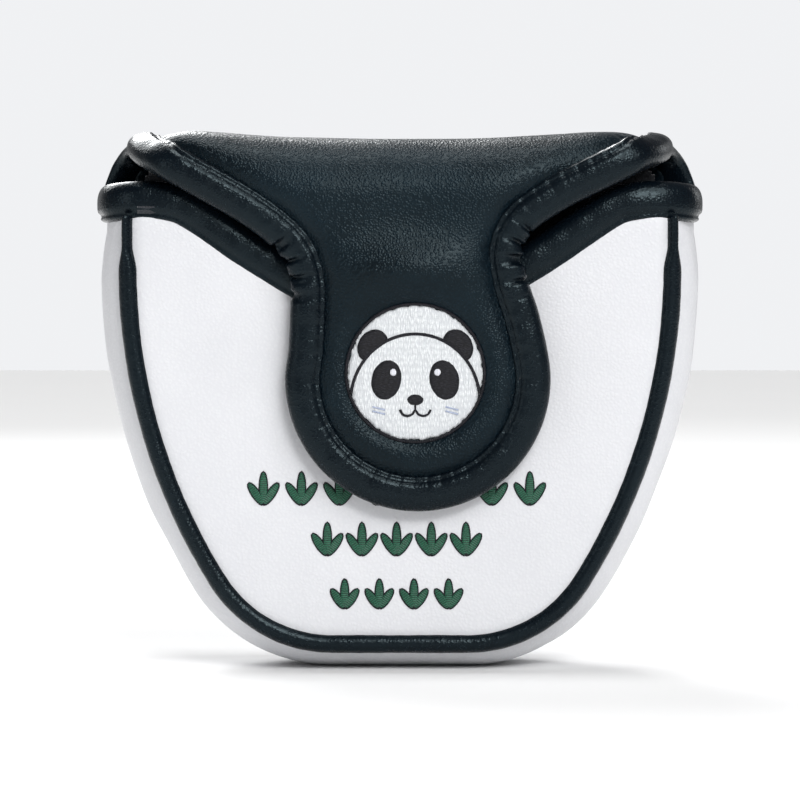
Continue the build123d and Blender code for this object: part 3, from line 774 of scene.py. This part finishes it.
def on_back_panel(x, z, lift=0.0):
    """Point of the back panel's skin, lift above it."""
    pad = read_grid(back_pad, BACK_START, CELL, x, z)
    return np.stack([x, BACK_Y + pad + lift, z], axis=-1)


back_points = np.stack([BACK_X, BACK_Y + back_pad, BACK_Z], axis=-1)
back_panel = sheet("back_leather", back_points, keep_back_panel, WHITE, LEATHER_T, flip=True)
fit(back_panel, "pouch", "white_leather", "back_panel", padded=0.6)

pile = 0.25 * smooth_noise(BACK_X, BACK_Z, 9, 15) + 0.4 * smooth_noise(BACK_X, BACK_Z, 31, 16)
tuck = 3.2 * np.clip(1 - from_mouth / 7, 0, 1) ** 1.5
back_lining_points = np.stack([BACK_X, 10.3 + pile + tuck, BACK_Z], axis=-1)
keep_back_lining = (back_inside > 2.2) & (BACK_Z < mouth_level)
back_lining = sheet("back_lining_pad", back_lining_points, keep_back_lining, PLUSH, 4.0)
fit(back_lining, "pouch", "plush_lining", "back_lining", "back_foam", padded=0.5)

# ---- Gusset ----
GUSSET_END = OUTLINE_END + 1.6


def gusset_points(s, v, drop=0.0, sag=0.0):
    """Points of the gusset at distances s along the outline and v from -1 to 1 across."""
    flat, out = outline(s)
    rise = (1 - np.abs(v) ** 2.7) ** 0.72
    full = GUSSET_BULGE + GUSSET_SIDE_BULGE * np.abs(out[..., 0])
    full = full - GATHER * np.clip(1 - (GUSSET_END - 7 - np.abs(s)) / 12, 0, 1) ** 1.5
    bulge = full * rise - drop + sag * rise
    y = GUSSET_MID + v * (GUSSET_HALF - drop * 0.5)
    x = flat[..., 0] + out[..., 0] * bulge
    z = flat[..., 1] + out[..., 1] * bulge
    return np.stack([x, y, z], axis=-1)


run_s, run_v = np.meshgrid(
    np.linspace(-GUSSET_END, GUSSET_END, 420), np.linspace(-1, 1, 46), indexing="ij"
)
across_band = run_v * GUSSET_HALF
wrinkle = smooth_noise(run_s, across_band, 15, 21) * 0.22 * np.clip((np.abs(run_s) - 18) / 12, 0, 1)
band = gusset_points(run_s, run_v, 0.0, wrinkle)
everywhere = np.ones(run_s.shape, bool)
gusset = sheet("gusset_leather", band, everywhere, WHITE, LEATHER_T, flip=True)
fit(gusset, "pouch", "white_leather", "gusset", padded=0.6)

gusset_pile = 0.3 * smooth_noise(run_s, across_band, 9, 22)
lining_band = gusset_points(run_s, run_v * 0.97, 2.2, gusset_pile)
gusset_lining = sheet("gusset_lining_pad", lining_band, everywhere, PLUSH, 1.6, flip=True)
fit(gusset_lining, "pouch", "plush_lining", "gusset_lining", padded=0.5)


# ---- Piping ----

def piping(name, node, y, facing, end, pinch, radius):
    """A leather cord sewn in round the U. Its top ends are pinched flat by the seam there."""
    s = np.linspace(-end, end, 420)
    flat, out = outline(s)
    path = np.stack([flat[:, 0], np.full(len(s), y), flat[:, 1]], axis=1)
    normals = np.stack([0.5 * out[:, 0], np.full(len(s), facing), 0.5 * out[:, 1]], axis=1)

    def section(along, angle):
        from_end = np.minimum(along, 2 * end - along)
        flat_part = np.clip((PINCH_END - from_end) / PINCH_FADE, 0, 1)
        squeeze = 1 - pinch * flat_part**2 * (3 - 2 * flat_part)
        lumps = 1 + 0.012 * np.sin(along * 0.35) + 0.008 * np.sin(along * 1.31 + 2)
        return radius * squeeze * lumps * np.cos(angle), radius * lumps * np.sin(angle)

    fit(sweep(name, path, unit(normals), section, BLACK_ROLL, sides=20), "pouch", "black_leather", node)


piping("front_cord", "front_piping", -20.4, -1.0, OUTLINE_END + 2.5, 0.2, 2.55)
piping("back_cord", "back_piping", 15.2, 1.0, OUTLINE_END - 1.0, 0.48, 2.3)


# ======== Bindings ========

def guided(rows, count):
    """A smooth path and its outward directions from rows of x, y, z, nx, ny, nz."""
    curve, along = catmull(rows, count)
    return curve[:, :3], unit(curve[:, 3:6]), along


def mirrored(rows, side):
    """Rows of x, y, z, nx, ny, nz on one side: 1 as they are, -1 mirrored in X."""
    return [(side * x, y, z, side * nx, ny, nz) for x, y, z, nx, ny, nz in rows]


# Half of the mouth's edge: up the V, round the shoulder, and forward along the gusset.
mouth_half = [(x, MOUTH_Y + 0.2, z, 0, 1, 0) for x, z in MOUTH_LINE[1:-2]] + [
    (57.5, MOUTH_Y, 111.4, 0.1, 1, 0.05),
    (63.0, 13.2, 111.4, 0.35, 1, 0.1),
    (67.2, 10.0, 110.9, 0.8, 0.6, 0.05),
    (68.8, 4.5, 110.6, 1, 0.12, 0),
    (69.3, -4.0, 110.4, 1, 0, 0),
    (69.4, -11.0, 110.3, 1, -0.05, 0),
    (69.0, -15.8, 110.3, 0.9, -0.4, 0),
    (67.4, -18.6, 110.6, 0.5, -0.9, 0),
]
mouth_middle = (0, MOUTH_Y, 84.0, 0, 1, 0)
mouth_path_rows = mirrored(mouth_half, -1)[::-1] + [mouth_middle] + mouth_half
mouth_path, mouth_normals, mouth_along = guided(mouth_path_rows, 520)


def both_ends(end, sizes):
    """A roll's sizes near its start, with the same ones again near its end."""
    return sizes + [(end - at, a, b) for at, a, b in sizes[::-1]]


def roll_section(sizes, lumpiness, seed, groove, puckers=()):
    """Section of a padded binding: plump, boxier at its seam, folded where a bend squeezes it.

    sizes are rows of distance along, half width, half thickness. groove is how far inside the
    seam's edge the stitching pulls a groove into the roll. Each row of puckers is
    start, end, spacing, depth and the edge that folds: 1 the free edge, -1 the seam.
    """
    random = np.random.default_rng(seed)
    waves = list(zip(random.uniform(5.0, 17.0, 5), random.uniform(0, 2 * math.pi, 5)))
    stations, widths, thicknesses = np.array(sizes, float).T

    def section(along, angle):
        c, s = np.cos(angle), np.sin(angle)
        power = np.where(c < 0, 0.62, 0.88)
        a = np.interp(along, stations, widths)
        b = np.interp(along, stations, thicknesses)
        across = a * np.sign(c) * np.abs(c) ** power
        out = b * np.sign(s) * np.abs(s) ** power
        wave = sum(np.sin(along * 2 * math.pi / size + phase) for size, phase in waves) / 5
        out = out + lumpiness * wave * np.clip(s, 0, 1)
        from_seam = (across + a - groove) / GROOVE_W
        plump = np.clip((b - GROOVE_MIN_B) / 0.8, 0, 1)
        out = out - GROOVE_DEPTH * np.exp(-from_seam**2) * np.clip(s, 0, 1) * plump
        for start, end, pitch, depth, edge in puckers:
            there = np.clip((along - start) / 3, 0, 1) * np.clip((end - along) / 3, 0, 1)
            uneven = along + 0.5 * np.sin(along * 1.7) + 0.9 * edge * (1 - np.abs(s))
            fold = (0.5 + 0.5 * np.cos((uneven - start) * 2 * math.pi / pitch)) ** 3
            near = np.clip(0.25 + edge * c, 0, 1)
            out = out - depth * there * fold * near * np.clip(s + 0.3, 0, 1)
            across = across - edge * 0.5 * depth * there * fold * np.clip(edge * c, 0, 1)
        return across, out

    return section


mouth_end = mouth_along[-1]
mouth_sizes = both_ends(mouth_end, [
    (0, 3.4, 1.4), (5, 4.3, 2.2), (14, MOUTH_BINDING_A, 2.9), (30, MOUTH_BINDING_A, BINDING_B),
])
mouth_section = roll_section(mouth_sizes, 0.28, 41, MOUTH_GROOVE)
mouth_binding = sweep("mouth_roll", mouth_path, mouth_normals, mouth_section, BLACK_ROLL, sides=40)
fit(mouth_binding, "pouch", "black_leather", "mouth_binding", padded=0.7)


def corner_rows(join_z):
    """From the tip at the front corner, up and over the crown, to the back leg."""
    return [
        (69.7, -19.6, 108.4, 0.5, -1, -0.1),
        (68.7, -20.9, 112.2, 0.45, -1, 0),
        (67.0, -21.3, 116.0, 0.4, -1, 0.15),
        (64.9, -20.3, 119.8, 0.35, -1, 0.45),
        (62.7, -16.4, 122.8, 0.3, -0.7, 0.8),
        (61.3, -9.5, 123.9, 0.2, -0.1, 1),
        (60.9, 0.0, 124.0, 0.15, 0.05, 1),
        (60.3, 7.5, 123.6, 0.12, 0.25, 1),
        (58.4, 14.0, (123.6 + join_z) / 2, 0.1, 0.6, 0.85),
        (55.4, 18.6, join_z, 0.05, 0.9, 0.5),
    ]


flap_rows = corner_rows(121.2)
flap_rows += [(x, FLAP_ROLL_Y - (abs(x) > 50) * 0.5, z, 0, 1, 0) for x, z in FLAP_LINE[1:-1]]
flap_rows += mirrored(corner_rows(122.4), -1)[::-1]
flap_path, flap_normals, flap_along = guided(flap_rows, 760)


def run_at(path, along, x, z):
    """Distance along a path of its back-leg point nearest to x, z."""
    gap = np.hypot(path[:, 0] - x, path[:, 2] - z) + 50 * (path[:, 1] < 15)
    return along[np.argmin(gap)]


neck_right = run_at(flap_path, flap_along, 23.8, 99.6)
neck_left = run_at(flap_path, flap_along, -24.9, 100.2)
flap_end = flap_along[-1]
flap_puckers = (
    (neck_right - 9, neck_right + 13, 5.2, 2.0, 1),
    (neck_left - 13, neck_left + 9, 5.2, 2.0, 1),
    (neck_left - 5, neck_left + 6, 3.4, 0.8, 1),
    (40, flap_end - 40, 3.6, 0.2, -1),
)
flap_sizes = both_ends(flap_end, [
    (0, 2.0, 0.8), (4, 3.6, 1.3), (10, 4.2, 1.7), (18, 4.2, 2.1),
    (26, BINDING_A, 2.8), (36, BINDING_A, BINDING_B),
])
flap_section = roll_section(flap_sizes, 0.22, 42, FLAP_GROOVE, flap_puckers)
flap_binding = sweep("flap_roll", flap_path, flap_normals, flap_section, BLACK_ROLL, sides=40)
fit_fold(
    flap_binding, "black_leather", "flap_binding", padded=0.7, start=(-21.0, 112.0), end=(-6.0, 116.0)
)


# ======== Sewing thread ========

def stitches(name, path, normals, radius):
    """Separate stitches along a path, each a rounded pad of thread that dips at both ends."""
    along = lengths(path)
    points, faces, run = [], [], []
    steps, sides = 7, 8
    for middle in np.arange(STITCH_PITCH / 2, along[-1], STITCH_PITCH):
        at = np.linspace(middle - STITCH_LENGTH / 2, middle + STITCH_LENGTH / 2, steps)
        centre = read_along(at, along, path)
        out = unit(read_along(at, along, normals))
        ahead = unit(np.gradient(centre, axis=0))
        side = unit(np.cross(ahead, out))
        u = np.linspace(-1, 1, steps)
        size = radius * np.sqrt(np.clip(1.04 - u**2, 0.03, 1))
        centre = centre + out * (radius * (0.5 - 0.9 * u**2))[:, None]
        first = len(points)
        for i in range(steps):
            for k in range(sides):
                a = 2 * math.pi * k / sides
                points.append(centre[i] + size[i] * (side[i] * math.cos(a) + out[i] * math.sin(a)))
                run.append(at[i])
        faces += ring_faces(steps, sides, first)
        faces.append(tuple(first + k for k in range(sides))[::-1])
        faces.append(tuple(first + (steps - 1) * sides + k for k in range(sides)))
    return add_mesh(name, points, faces, SEAM_THREAD, run)


def offset_path(path, normals, sideways, lift):
    """The path moved sideways and outwards."""
    side = unit(np.cross(unit(np.gradient(path, axis=0)), normals))
    return path + side * sideways + normals * lift


seam_run = (flap_along > 44) & (flap_along < flap_end - 44)
inner_seam = offset_path(flap_path, flap_normals, FLAP_GROOVE - BINDING_A, 1.75)[seam_run]
flap_thread = stitches("flap_seam", inner_seam, flap_normals[seam_run], 0.33)
fit_fold(flap_thread, "black_thread", "flap_stitching")

lower_run = (mouth_along > 52) & (mouth_along < mouth_end - 52)
mouth_offset = MOUTH_GROOVE - MOUTH_BINDING_A
mouth_seam = offset_path(mouth_path, mouth_normals, mouth_offset, 1.95)[lower_run]
mouth_thread = stitches("mouth_seam", mouth_seam, mouth_normals[lower_run], 0.3)
fit(mouth_thread, "pouch", "black_thread", "mouth_stitching")


# ======== Embroidery and the face ========

def ribbon(name, line, surface, facing, width, height, material, closed=False, lift=0.0, step=0.6):
    """A line of satin stitches that lies on a surface. Its edges are slightly uneven."""
    line = np.asarray(line, float)
    if closed:
        line = np.vstack([line, line[:1]])
    along = lengths(line)
    count = max(int(along[-1] / step), 6)
    at = np.linspace(0, along[-1], count, endpoint=not closed)
    path = surface(*read_along(at, along, line).T, lift)
    normals = np.tile((0.0, facing, 0.0), (count, 1))
    rough = np.random.default_rng(len(name) * 13 + count).uniform(-1, 1, count)
    ragged = min(0.07, 0.05 / width)

    def section(along, angle):
        edge = width / 2 * (1 + ragged * rough[:, None]) * np.cos(angle)
        out = height * np.where(np.sin(angle) > 0, 1.0, 0.55) * np.sin(angle)
        return edge, out * (1 + 0.08 * np.roll(rough, 3)[:, None])

    return sweep(name, path, normals, section, material, closed=closed, sides=12)


def patch(name, line, surface, facing, height, material, lay=0.0, lift=0.0, rings=14, fuzz=0.05):
    """A closed field of stitches or leather that lies on a surface and is plump at its edge."""
    line = np.asarray(line, float)
    centre = line.mean(axis=0)
    random = np.random.default_rng(len(line) + int(abs(centre[0]) * 10))
    ragged = 1 + fuzz * random.uniform(-1, 1, len(line)) / np.linalg.norm(line - centre, axis=1)
    n = len(line)
    levels = [(r, (1 - r**6) ** 0.5) for r in np.linspace(0.04, 1.0, rings)]
    levels += [(0.995, -0.5), (0.4, -0.5)]
    points = []
    for r, up in levels:
        ring = centre + (line - centre) * (r * (ragged[:, None] if r > 0.9 else 1))
        points.append(surface(ring[:, 0], ring[:, 1], lift + height * up))
    points = np.vstack(points)
    faces = ring_faces(len(levels), n)
    faces.append(tuple(range(n))[::-1])
    faces.append(tuple((len(levels) - 1) * n + k for k in range(n)))
    after = np.roll(line, -1, axis=0)
    turns_left = np.sum(line[:, 0] * after[:, 1] - after[:, 0] * line[:, 1]) > 0
    if turns_left == (facing > 0):
        faces = [face[::-1] for face in faces]
    lay = math.radians(lay)
    run = points[:, 0] * math.cos(lay) + points[:, 2] * math.sin(lay)
    return add_mesh(name, points, faces, material, run)


def merge(name, pieces):
    """Several meshes as one piece."""
    with bpy.context.temp_override(active_object=pieces[0], selected_editable_objects=pieces):
        bpy.ops.object.join()
    pieces[0].name = name
    return pieces[0]


def open_arc(loop, shown):
    """The part of a closed line that shows, starting after the part that doesn't."""
    order = np.roll(np.arange(len(loop)), -np.argmax(~shown))
    return loop[order][shown[order]]


# ---- Face patch ----
FACE_X, FACE_Z = panel_grid(FACE_START, FACE_STOP, FACE_CELL)
face_edge = curve_distance(FACE_X, FACE_Z, face_outline, closed=True)
in_patch = inside(FACE_X, FACE_Z, face_outline)
face_inside = outline_distance(FACE_X, FACE_Z)
keep_face = in_patch & (face_inside > 0.3)
face_held = ~keep_face | (face_edge < 1.4) | (face_inside < 3.4)

eye_lines = [ellipse((x, z), EYE_RADII, tilt, 84) for x, z, tilt in EYES]
nose_line = ellipse((3.6, 39.5), (6.7, 3.7), 0, 48)
cheek_lines = [ellipse(CHEEKS[0], (6.4, 3.8), -3, 48), ellipse(CHEEKS[1], (6.3, 3.8), 3, 48)]
mouth_line = [
    (-8.1, 31.4), (-7.6, 29.2), (-5.8, 27.4), (-3.0, 26.7), (0.0, 27.3), (2.3, 28.8), (3.5, 30.6),
    (4.8, 28.6), (7.0, 27.1), (9.8, 26.7), (12.6, 27.5), (14.6, 29.4), (15.4, 31.9),
]
mouth_curve = catmull(mouth_line, 70)[0]
lip_curve = catmull([(3.5, 36.6), (3.6, 33.4), (3.5, 30.2)], 20)[0]
for line in eye_lines + [nose_line] + cheek_lines:
    face_held |= inside(FACE_X, FACE_Z, line)
    face_held |= curve_distance(FACE_X, FACE_Z, line, closed=True) < 0.7
for line in (mouth_curve, lip_curve):
    face_held |= curve_distance(FACE_X, FACE_Z, line) < 0.7
face_pad = uneven(padding(face_held, 1.5, 5.0, FACE_CELL), FACE_X, FACE_Z, 0.10, 24, 51)
face_pad -= crease(face_inside, 4.0, 2.2) + 0.5 * crease(face_edge, 1.6, 1.0) * in_patch


def on_face(x, z, lift=0.0):
    """Point of the white face patch's skin, lift above it."""
    pad = read_grid(face_pad, FACE_START, FACE_CELL, x, z)
    return np.stack([x, FRONT_Y - FACE_LIFT - pad - lift, z], axis=-1)


face_points = np.stack([FACE_X, FRONT_Y - FACE_LIFT - face_pad, FACE_Z], axis=-1)
face = sheet("face_leather", face_points, keep_face, PEBBLED, 1.0)
fit(face, "pouch", "pebbled_white_leather", "face_patch", padded=0.6)

shown = outline_distance(face_outline[:, 0], face_outline[:, 1]) > -0.2
top_first = np.argmin(face_outline[:, 1])
order = np.roll(np.arange(len(face_outline)), -top_first)
border_line = face_outline[order][shown[order]]
border = ribbon("face_satin_edge", border_line, on_face, -1, SATIN_W, 0.75, PALE_SATIN, lift=0.1)
fit(border, "pouch", "pale_satin_thread", "face_border")

for side, (x, z, radius) in zip(("left", "right"), EARS):
    circle = ellipse((x, z), (radius, radius), count=120)
    pad = patch(f"ear_{side}_pad", circle, on_front, -1, 0.3, BLACK, lift=0.05, rings=24, fuzz=0.0)
    fit(pad, "pouch", "black_leather", f"ear_{side}")
    edge = open_arc(circle, (((circle - FACE_CENTRE) / FACE_RADII) ** 2).sum(axis=1) > 0.97)
    ring = ribbon(f"ear_{side}_edge", edge, on_front, -1, 1.5, 0.6, WHITE_THREAD, lift=0.35)
    fit(ring, "pouch", "white_thread", f"ear_{side}_outline")

for side, line, spot in zip(("left", "right"), eye_lines, HIGHLIGHTS):
    field = patch(f"eye_{side}_field", line, on_face, -1, 0.55, BLACK_FILL, rings=18)
    rim = ribbon(f"eye_{side}_rim", line, on_face, -1, 0.8, 0.5, BLACK_FILL, closed=True, lift=0.25)
    fit(merge(f"eye_{side}_embroidery", [field, rim]), "pouch", "black_thread", f"eye_{side}")
    glint_line = ellipse(spot, (2.3, 2.9), 0, 36)
    glint = patch(f"glint_{side}", glint_line, on_face, -1, 0.5, WHITE_THREAD, lay=80, lift=0.75)
    fit(glint, "pouch", "white_thread", f"highlight_{side}")

nose = patch("nose_embroidery", nose_line, on_face, -1, 0.9, BLACK_THREAD, lay=10, lift=0.1)
fit(nose, "pouch", "black_thread", "nose")
lips = ribbon("lips", mouth_curve, on_face, -1, 1.6, 0.6, BLACK_THREAD, lift=0.15)
parting = ribbon("parting", lip_curve, on_face, -1, 1.5, 0.55, BLACK_THREAD, lift=0.15)
fit(merge("mouth_embroidery", [lips, parting]), "pouch", "black_thread", "mouth")
for side, line in zip(("left", "right"), cheek_lines):
    cheek = patch(f"cheek_{side}_field", line, on_face, -1, 0.6, BLUE_FILL, lift=0.1)
    fit(cheek, "pouch", "pale_blue_thread", f"cheek_{side}")

stalk = [ribbon(f"stalk_{i}", line, on_front, -1, 0.85, 0.38, GREEN_THREAD, closed=True, lift=0.1)
         for i, line in enumerate(STALK)]
fit(merge("bamboo_stalk_stitching", stalk), "pouch", "green_thread", "bamboo_stalk")
leaves = [ribbon(f"leaf_{i}", line, on_front, -1, 0.75, 0.38, GREEN_THREAD, closed=True, lift=0.2)
          for i, line in enumerate(LEAVES)]
fit(merge("bamboo_leaf_stitching", leaves), "pouch", "green_thread", "bamboo_leaves")

# ---- Leaf sprigs on the back: height, number, spacing, half length of a leaf ----
SPRIG_ROWS = {
    "upper": (43.5, 8, 9.0, 4.0),
    "middle": (31.5, 5, 8.2, 4.0),
    "lower": (18.5, 4, 8.2, 3.6),
}
SPRIG_X = 0.8
SPRIG_LEAF_W = 1.0
SPRIG_FAN = {-34: 0.8, 0: 1.0, 34: 0.8}
for row, (z, count, pitch, length) in SPRIG_ROWS.items():
    pieces = []
    for i in range(count):
        foot = np.array((SPRIG_X + (i - (count - 1) / 2) * pitch, z - length))
        for tilt, share in SPRIG_FAN.items():
            half = length * share
            turn = math.radians(tilt)
            middle = foot + half * np.array((math.sin(turn), math.cos(turn)))
            leaf = ellipse(middle, (SPRIG_LEAF_W, half), -tilt, 28)
            name = f"sprig_{row}_{i}_{tilt}"
            pieces += [
                patch(name, leaf, on_back_panel, 1, 0.45, SPRIG_THREAD, lay=90 - tilt, rings=6),
                ribbon(f"{name}_edge", leaf, on_back_panel, 1, 0.34, 0.3, BLACK_THREAD, closed=True),
            ]
    fit(merge(f"sprig_row_{row}", pieces), "pouch", "dark_green_thread", f"sprigs_{row}")


# ======== Badge on the tongue ========

def badge_line(x, z, radii, tilt=0.0, count=40):
    """Ellipse placed from the badge's centre, x to the right as seen from behind."""
    return ellipse((BADGE[0] - x, BADGE[1] + z), radii, -tilt, count)


def on_disc(x, z, lift=0.0):
    """Point of the badge's surface, lift above it."""
    return on_tongue(x, z, lift + 0.85)


disc_line = ellipse(BADGE, (BADGE_R, BADGE_R), count=150)
disc = patch("badge_field", disc_line, on_tongue, 1, 0.7, WHITE_FILL, lift=0.15, rings=24, fuzz=0.35)
rim = ribbon("badge_edge", ellipse(BADGE, (BADGE_R + 0.35,) * 2, count=150), on_tongue, 1, 0.75, 0.5,
             BLACK_THREAD, closed=True, lift=0.15)

head_rim = badge_line(0, BADGE_HEAD_Z, BADGE_HEAD_RADII, 0, 150)
from_centre = np.hypot(*(head_rim - BADGE).T)
head_arc = open_arc(head_rim, (from_centre < BADGE_R + 0.1) & (head_rim[:, 1] > BADGE[1] - 5.0))
head = ribbon("badge_head_line", head_arc, on_disc, 1, 0.75, 0.3, BLACK_THREAD)


def half_moon(side):
    """A small ear: the part of an oval that stands out above the head's line."""
    oval = badge_line(side * 10.0, 6.4, (3.4, 4.1), side * 35, 48)
    middle = np.array((BADGE[0], BADGE[1] + BADGE_HEAD_Z))
    gap = (oval - middle) / BADGE_HEAD_RADII
    size = np.linalg.norm(gap, axis=1)
    pushed = middle + (oval - middle) / size[:, None]
    return np.where((size < 1)[:, None], pushed, oval)


ears = merge("badge_ear_fields", [
    patch(f"badge_ear_{side}", half_moon(side), on_disc, 1, 0.35, SMALL_BLACK, rings=6)
    for side in (-1, 1)
])
eyes = merge("badge_eye_fields", [
    patch(f"badge_eye_{side}", badge_line(side * 6.8, -1.6, (3.5, 4.7), side * 12), on_disc, 1, 0.35,
          SMALL_BLACK, rings=6)
    for side in (-1, 1)
])
glints = merge("badge_glints", [
    patch(f"badge_glint_{side}", badge_line(side * 5.2, 0.2, (0.75, 0.85), 0, 20), on_disc, 1, 0.25,
          WHITE_THREAD, rings=4, lift=0.35)
    for side in (-1, 1)
])
nose_oval = badge_line(0, -6.3, (1.9, 1.3))
small_nose = patch("badge_nose_field", nose_oval, on_disc, 1, 0.4, SMALL_BLACK, rings=5)
smile = [
    (-3.6, -8.6), (-3.0, -9.7), (-1.8, -10.1), (-0.6, -9.6), (0, -8.5),
    (0.6, -9.6), (1.8, -10.1), (3.0, -9.7), (3.6, -8.6),
]
smile_curve = catmull([(BADGE[0] - x, BADGE[1] + z) for x, z in smile], 40)[0]
parting_line = [(BADGE[0], BADGE[1] - 7.2), (BADGE[0], BADGE[1] - 8.7)]
small_mouth = merge("badge_smile", [
    ribbon("badge_lips", smile_curve, on_disc, 1, 0.6, 0.3, BLACK_THREAD),
    ribbon("badge_parting", parting_line, on_disc, 1, 0.55, 0.28, BLACK_THREAD, step=0.25),
])


def blush_line(side, drop):
    """A short slanting line on a cheek."""
    x, z = BADGE[0] - side * 8.6, BADGE[1] - 8.3 - drop
    return [(x - side * u, z - 0.25 * u * side) for u in (-1.5, 0, 1.5)]


blush = merge("badge_blush", [
    ribbon(f"badge_cheek_{side}_{drop}", blush_line(side, drop), on_disc, 1, 0.4, 0.16, BLUE_FILL,
           step=0.3)
    for side in (-1, 1) for drop in (0, 1.0)
])
badge_pieces = (
    (disc, "badge_disc", "white_thread"),
    (rim, "badge_rim", "black_thread"),
    (head, "badge_head", "black_thread"),
    (ears, "badge_ears", "black_thread"),
    (eyes, "badge_eyes", "black_thread"),
    (glints, "badge_highlights", "white_thread"),
    (small_nose, "badge_nose", "black_thread"),
    (small_mouth, "badge_mouth", "black_thread"),
    (blush, "badge_cheeks", "pale_blue_thread"),
)
for piece, node, slot in badge_pieces:
    fit(piece, "flap", slot, node)

for node in ("back_magnet", "flap_magnet"):
    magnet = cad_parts[node]
    magnet.data.materials.clear()
    magnet.data.materials.append(STEEL)


# ======== Floor, lights, camera ========

def paper(name, colour):
    """Matt studio paper with a faint unevenness."""
    m = Nodes(name, colour, 0.9)
    low = tuple(c * 0.985 for c in colour)
    m.colour(m.ramp(m.noise(m.place(), 0.02, 2.0), low, colour))
    return m.material


FLOOR_HALF = 1500.0
floor_corners = [(x * FLOOR_HALF, y * FLOOR_HALF, 0) for x, y in ((-1, -1), (1, -1), (1, 1), (-1, 1))]
floor = add_mesh("floor", floor_corners, [(0, 1, 2, 3)], paper("floor_paper", (0.84, 0.84, 0.84)))


def studio_sky():
    """A pale backdrop that shows bright and lights the cover only gently."""
    world = bpy.data.worlds.new("studio")
    world.use_nodes = True
    tree = world.node_tree
    heading = add_node(tree, "ShaderNodeTexCoord").outputs["Generated"]
    height = add_node(tree, "ShaderNodeSeparateXYZ", {0: heading}).outputs["Z"]
    inputs = {"Value": height, "From Min": 0.12, "From Max": 0.4, "To Min": 0.32, "To Max": 0.12}
    fade = add_node(tree, "ShaderNodeMapRange", inputs).outputs[0]
    seen = add_node(tree, "ShaderNodeLightPath").outputs["Is Camera Ray"]
    choice = add_node(tree, "ShaderNodeMix", {"Factor": seen, "A": fade, "B": 0.90})
    tree.links.new(choice.outputs[0], tree.nodes["Background"].inputs["Strength"])
    tree.nodes["Background"].inputs["Color"].default_value = (0.97, 0.98, 1.0, 1)
    bpy.context.scene.world = world


studio_sky()
bpy.context.scene.view_settings.view_transform = "Standard"


def lamp(name, place, size, watts):
    """A soft rectangular studio light aimed at the cover."""
    data = bpy.data.lights.new(name, "AREA")
    data.shape = "RECTANGLE"
    data.size, data.size_y = size
    data.energy = watts
    light = bpy.data.objects.new(name, data)
    light.location = place
    to_cover = Vector((0, 0, 0.07)) - light.location
    light.rotation_euler = to_cover.to_track_quat("-Z", "Y").to_euler()
    bpy.context.scene.collection.objects.link(light)


def sun(name, direction, strength, angle):
    """Broad even light from a direction."""
    data = bpy.data.lights.new(name, "SUN")
    data.energy = strength
    data.angle = math.radians(angle)
    light = bpy.data.objects.new(name, data)
    light.rotation_euler = Vector(direction).to_track_quat("Z", "Y").to_euler()
    bpy.context.scene.collection.objects.link(light)


sun("back_sun", (-0.45, 0.9, 0.78), 1.9, 42)
sun("front_sun", (0.45, -0.9, 0.78), 1.9, 42)
lamp("overhead", (0.0, 0.0, 0.95), (0.42, 0.24), 3.4)
lamp("back_key", (-0.20, 0.75, 0.46), (0.26, 0.12), 2.3)
lamp("front_key", (0.20, -0.75, 0.46), (0.26, 0.12), 2.3)
lamp("back_fill", (0.7, 0.6, 0.35), (0.3, 0.4), 0.7)
lamp("front_fill", (-0.7, -0.6, 0.35), (0.3, 0.4), 0.7)

camera_data = bpy.data.cameras.new("camera")
camera_data.lens = 250
camera = bpy.data.objects.new("camera", camera_data)
target = Vector((0, 0, 0.0635))
distance, lift = 1.33, math.radians(3)
camera.location = target + distance * Vector((0, math.cos(lift), math.sin(lift)))
camera.rotation_euler = (target - camera.location).to_track_quat("-Z", "Y").to_euler()
bpy.context.scene.collection.objects.link(camera)
bpy.context.scene.camera = camera
